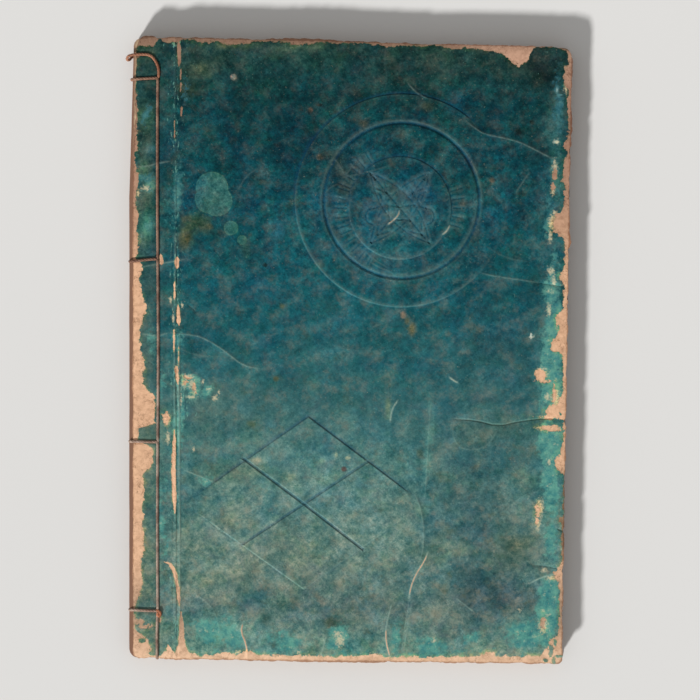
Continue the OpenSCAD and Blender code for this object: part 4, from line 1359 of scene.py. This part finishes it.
def tube(path, radius, sides=6):
    """Rings of points round a path, and the faces between them."""
    turns = np.linspace(0, 2 * math.pi, sides, endpoint=False)
    rings = [p + radius * (np.outer(np.cos(turns), up) + np.outer(np.sin(turns), side))
             for p, up, side in zip(path, *frames_along(path))]
    faces = faces_between(sides, len(path))
    for start, flip in ((0, True), ((len(path) - 1) * sides, False)):
        fan = np.stack([np.zeros(sides - 2, int), np.arange(1, sides - 1), np.arange(2, sides)], 1) + start
        faces.append(fan[:, ::-1] if flip else fan)
    return np.vstack(rings), np.vstack(faces)


def twisted(path, gap=0.34, start=0.0):
    """Strands wound round a smooth path."""
    path = spaced(rounded(path, 3), gap)
    ups, sides = frames_along(path)
    along = np.arange(len(path)) * gap / TWIST_PITCH * 2 * math.pi + start
    tubes = []
    for k in range(STRANDS):
        turn = along + k * 2 * math.pi / STRANDS
        wound = path + TWIST_R * (ups * np.cos(turn)[:, None] + sides * np.sin(turn)[:, None])
        tubes.append(tube(wound, STRAND_R))
    return tubes


def thread_paths():
    """Every run of the sewing as a list of points with a stain along it."""
    paths = []
    sx, low = SEWING_X, UNDER_Z
    for z, sign in ((FACE_Z, 1), (UNDER_Z, -1)):
        for k, (a, b) in enumerate(zip(HOLES_Y[:-1], HOLES_Y[1:])):
            sway = 0.25 * (1 if k == 1 else -0.4)
            paths.append(([
                (sx, a, z - sign * 1.5), (sx, a - 0.2, z - sign * 0.1), (sx + 0.05, a - 1.6, z),
                (sx + sway * 0.5, a - 12, z), (sx + sway, (a + b) / 2, z), (sx + sway * 0.5, b + 12, z),
                (sx + 0.05, b + 1.6, z), (sx, b + 0.2, z - sign * 0.1), (sx, b, z - sign * 1.5),
            ], 0.05))
    hole_y, edge_y, ex = HOLES_Y[3], down(659), sx - 0.2
    paths.append(([
        (sx, hole_y, FACE_Z - 1.5), (sx, hole_y - 0.2, FACE_Z - 0.1), (sx - 0.1, hole_y - 2, FACE_Z),
        (sx - 0.25, hole_y - 9, FACE_Z), (ex, edge_y + 2.2, FACE_Z), (ex, edge_y + 0.7, FACE_Z - 0.1),
        (ex, edge_y + 0.15, FACE_Z - 1.1), (ex, edge_y + 0.2, BOOK_T / 2), (ex, edge_y + 0.15, low + 1.1),
        (ex, edge_y + 0.7, low + 0.1), (ex, edge_y + 2.2, low), (sx, hole_y - 2, low),
        (sx, hole_y - 0.2, low + 0.1), (sx, hole_y, low + 1.5),
    ], 0.1))
    for y, slant in zip(HOLES_Y, (-0.4, -0.8, 0.2, 0.35)):
        ex, end_y = SPINE_EDGE_X + (0.9 if y > 90 else 0.2), y + slant
        paths.append(([
            (sx, y, FACE_Z - 1.5), (sx - 0.2, y, FACE_Z - 0.1), (sx - 1.4, y, FACE_Z + 0.02),
            (sx - 5.0, y + slant * 0.4, FACE_Z), (ex + 1.8, end_y, FACE_Z),
            (ex + 0.75, end_y, FACE_Z - 0.2), (ex + 0.1, end_y, FACE_Z - 1.2),
            (ex, end_y, BOOK_T / 2), (ex + 0.1, end_y, low + 1.2),
            (ex + 0.75, end_y, low + 0.15), (ex + 1.8, end_y, low), (sx - 1.4, y, low),
            (sx - 0.2, y, low + 0.1), (sx, y, low + 1.5),
        ], 0.15))
    loop = [(sx + 0.2, HOLES_Y[0], FACE_Z - 1.5), (sx + 0.3, HOLES_Y[0] + 0.5, FACE_Z)]
    loop += [(x, y, FACE_Z + 0.1) for x, y in HEAD_LOOP[1:-1]]
    edge_x, edge_y = at(133, 54.6)
    loop += [(edge_x, edge_y, FACE_Z + 0.2), (edge_x - 1.6, edge_y - 0.35, FACE_Z + 0.1),
             (edge_x - 2.35, edge_y - 1.3, FACE_Z - 0.7), (edge_x - 2.2, edge_y - 1.9, FACE_Z - 2.2),
             (edge_x - 1.4, edge_y - 1.7, BOOK_T / 2), (edge_x - 1.2, edge_y - 1.0, low + 1.6),
             (edge_x - 0.6, edge_y - 0.3, low + 0.2), (edge_x + 1, edge_y, low)]
    loop += [(x, y, low) for x, y in HEAD_LOOP[1:-2][::-1]]
    loop += [(sx + 0.3, HOLES_Y[0] + 0.5, low), (sx + 0.2, HOLES_Y[0], low + 1.5)]
    paths.append((loop, 0.45))
    kx, ky = at(158.5, 614)
    knot = [(-0.7, 1.4, -0.6), (-0.3, 1.3, 0.45), (0.75, 0.5, 0.35), (0.5, -0.9, 0.2), (-0.4, -0.6, 0.48),
            (-0.2, 0.6, 0.45), (0.4, 1.0, 0.1), (0.3, -1.2, -0.1)]
    paths.append(([(kx + dx, ky + dy, FACE_Z + dz) for dx, dy, dz in knot], 1.0))
    return paths


def binding_thread():
    points, faces, stain = [], [], []
    count = 0
    for k, (path, dirt) in enumerate(thread_paths()):
        for tube_points, tube_faces in twisted(np.array(path), start=0.9 * k):
            points.append(tube_points)
            faces.append(tube_faces + count)
            stain.append(np.full(len(tube_points), dirt))
            count += len(tube_points)
    points = np.vstack(points)
    obj = mesh_object("sewing_thread", points, np.vstack(faces), SILK, sharp=80)
    add_field(obj, "rest", points)
    add_field(obj, "stain", np.concatenate(stain))
    # Painted light falloff along the thread: 0 towards the head, 1 towards the tail
    add_field(obj, "faded", np.interp(points[:, 1], (down(440), down(200)), (1.0, 0.0)))
    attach(obj, BLOCK_BODY)
    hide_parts("binding_thread")
    return obj


def paper_ties():
    """The ties stay as they are modelled, in a soft white paper."""
    s = Shader("tie_paper")
    place = s.node("TexCoord").outputs["Object"]
    tone = s.noise(place, 0.002, 4, 0.6, 3)
    colour = s.mix(s.span(tone, 0.3, 0.7), srgb(196, 178, 148), srgb(226, 212, 184))
    material = s.finish(colour, 0.85, s.bump(s.noise(place, 0.0005, 4, 0.6, 5), 0.05, 0.6), 0.2)
    for name in ("paper_tie_upper", "paper_tie_lower"):
        node = frame["nodes"][name]
        node.data.materials.clear()
        node.data.materials.append(material)


# Floor, light and camera
CAMERA_HEIGHT = 1.5  # metres
SENSOR = 36.0  # width of the camera's sensor in millimetres
KEY_TURN, KEY_HEIGHT = 238, 28  # where the light comes from, in degrees
KEY_STRENGTH, KEY_ANGLE = 4.0, 6
SKY = 0.4


def floor():
    mesh = bpy.data.meshes.new("floor")
    reach = 3.0
    corners = [(-reach, -reach, 0), (reach, -reach, 0), (reach, reach, 0), (-reach, reach, 0)]
    mesh.from_pydata(corners, [], [(0, 1, 2, 3)])
    obj = bpy.data.objects.new("floor", mesh)
    bpy.context.scene.collection.objects.link(obj)
    s = Shader("pale_floor")
    place = s.node("TexCoord").outputs["Object"]
    tone = s.noise(place, 0.4, 3, 0.5, 2)
    mesh.materials.append(s.finish(s.mix(tone, (0.72, 0.71, 0.69), (0.76, 0.75, 0.73)), 0.9, None, 0.1))
    obj.location.z = -0.0002


def lights():
    key = bpy.data.lights.new("key", "SUN")
    key.energy = KEY_STRENGTH
    key.angle = math.radians(KEY_ANGLE)
    obj = bpy.data.objects.new("key", key)
    turn, height = math.radians(KEY_TURN), math.radians(KEY_HEIGHT)
    way = Vector((math.cos(turn) * math.cos(height), math.sin(turn) * math.cos(height), math.sin(height)))
    obj.rotation_euler = way.to_track_quat("Z", "Y").to_euler()
    bpy.context.scene.collection.objects.link(obj)
    world = bpy.data.worlds.new("room")
    world.use_nodes = True
    sky = world.node_tree.nodes["Background"]
    sky.inputs["Color"].default_value = (1, 1, 1, 1)
    sky.inputs["Strength"].default_value = SKY
    bpy.context.scene.world = world


def camera():
    lens = bpy.data.cameras.new("camera")
    middle = at(PHOTO_SIZE / 2, PHOTO_SIZE / 2)
    width = PHOTO_SIZE * PHOTO_SCALE * MM
    lens.sensor_width = SENSOR
    lens.lens = SENSOR * (CAMERA_HEIGHT - BOOK_T * MM) / width
    obj = bpy.data.objects.new("camera", lens)
    obj.location = (middle[0] * MM, middle[1] * MM, CAMERA_HEIGHT)
    bpy.context.scene.collection.objects.link(obj)
    bpy.context.scene.camera = obj


camera()
lights()
floor()
front_cover_sheet()
back_cover_sheet()
leaf_stack()
binding_thread()
paper_ties()
bpy.context.scene.view_settings.view_transform = "Standard"
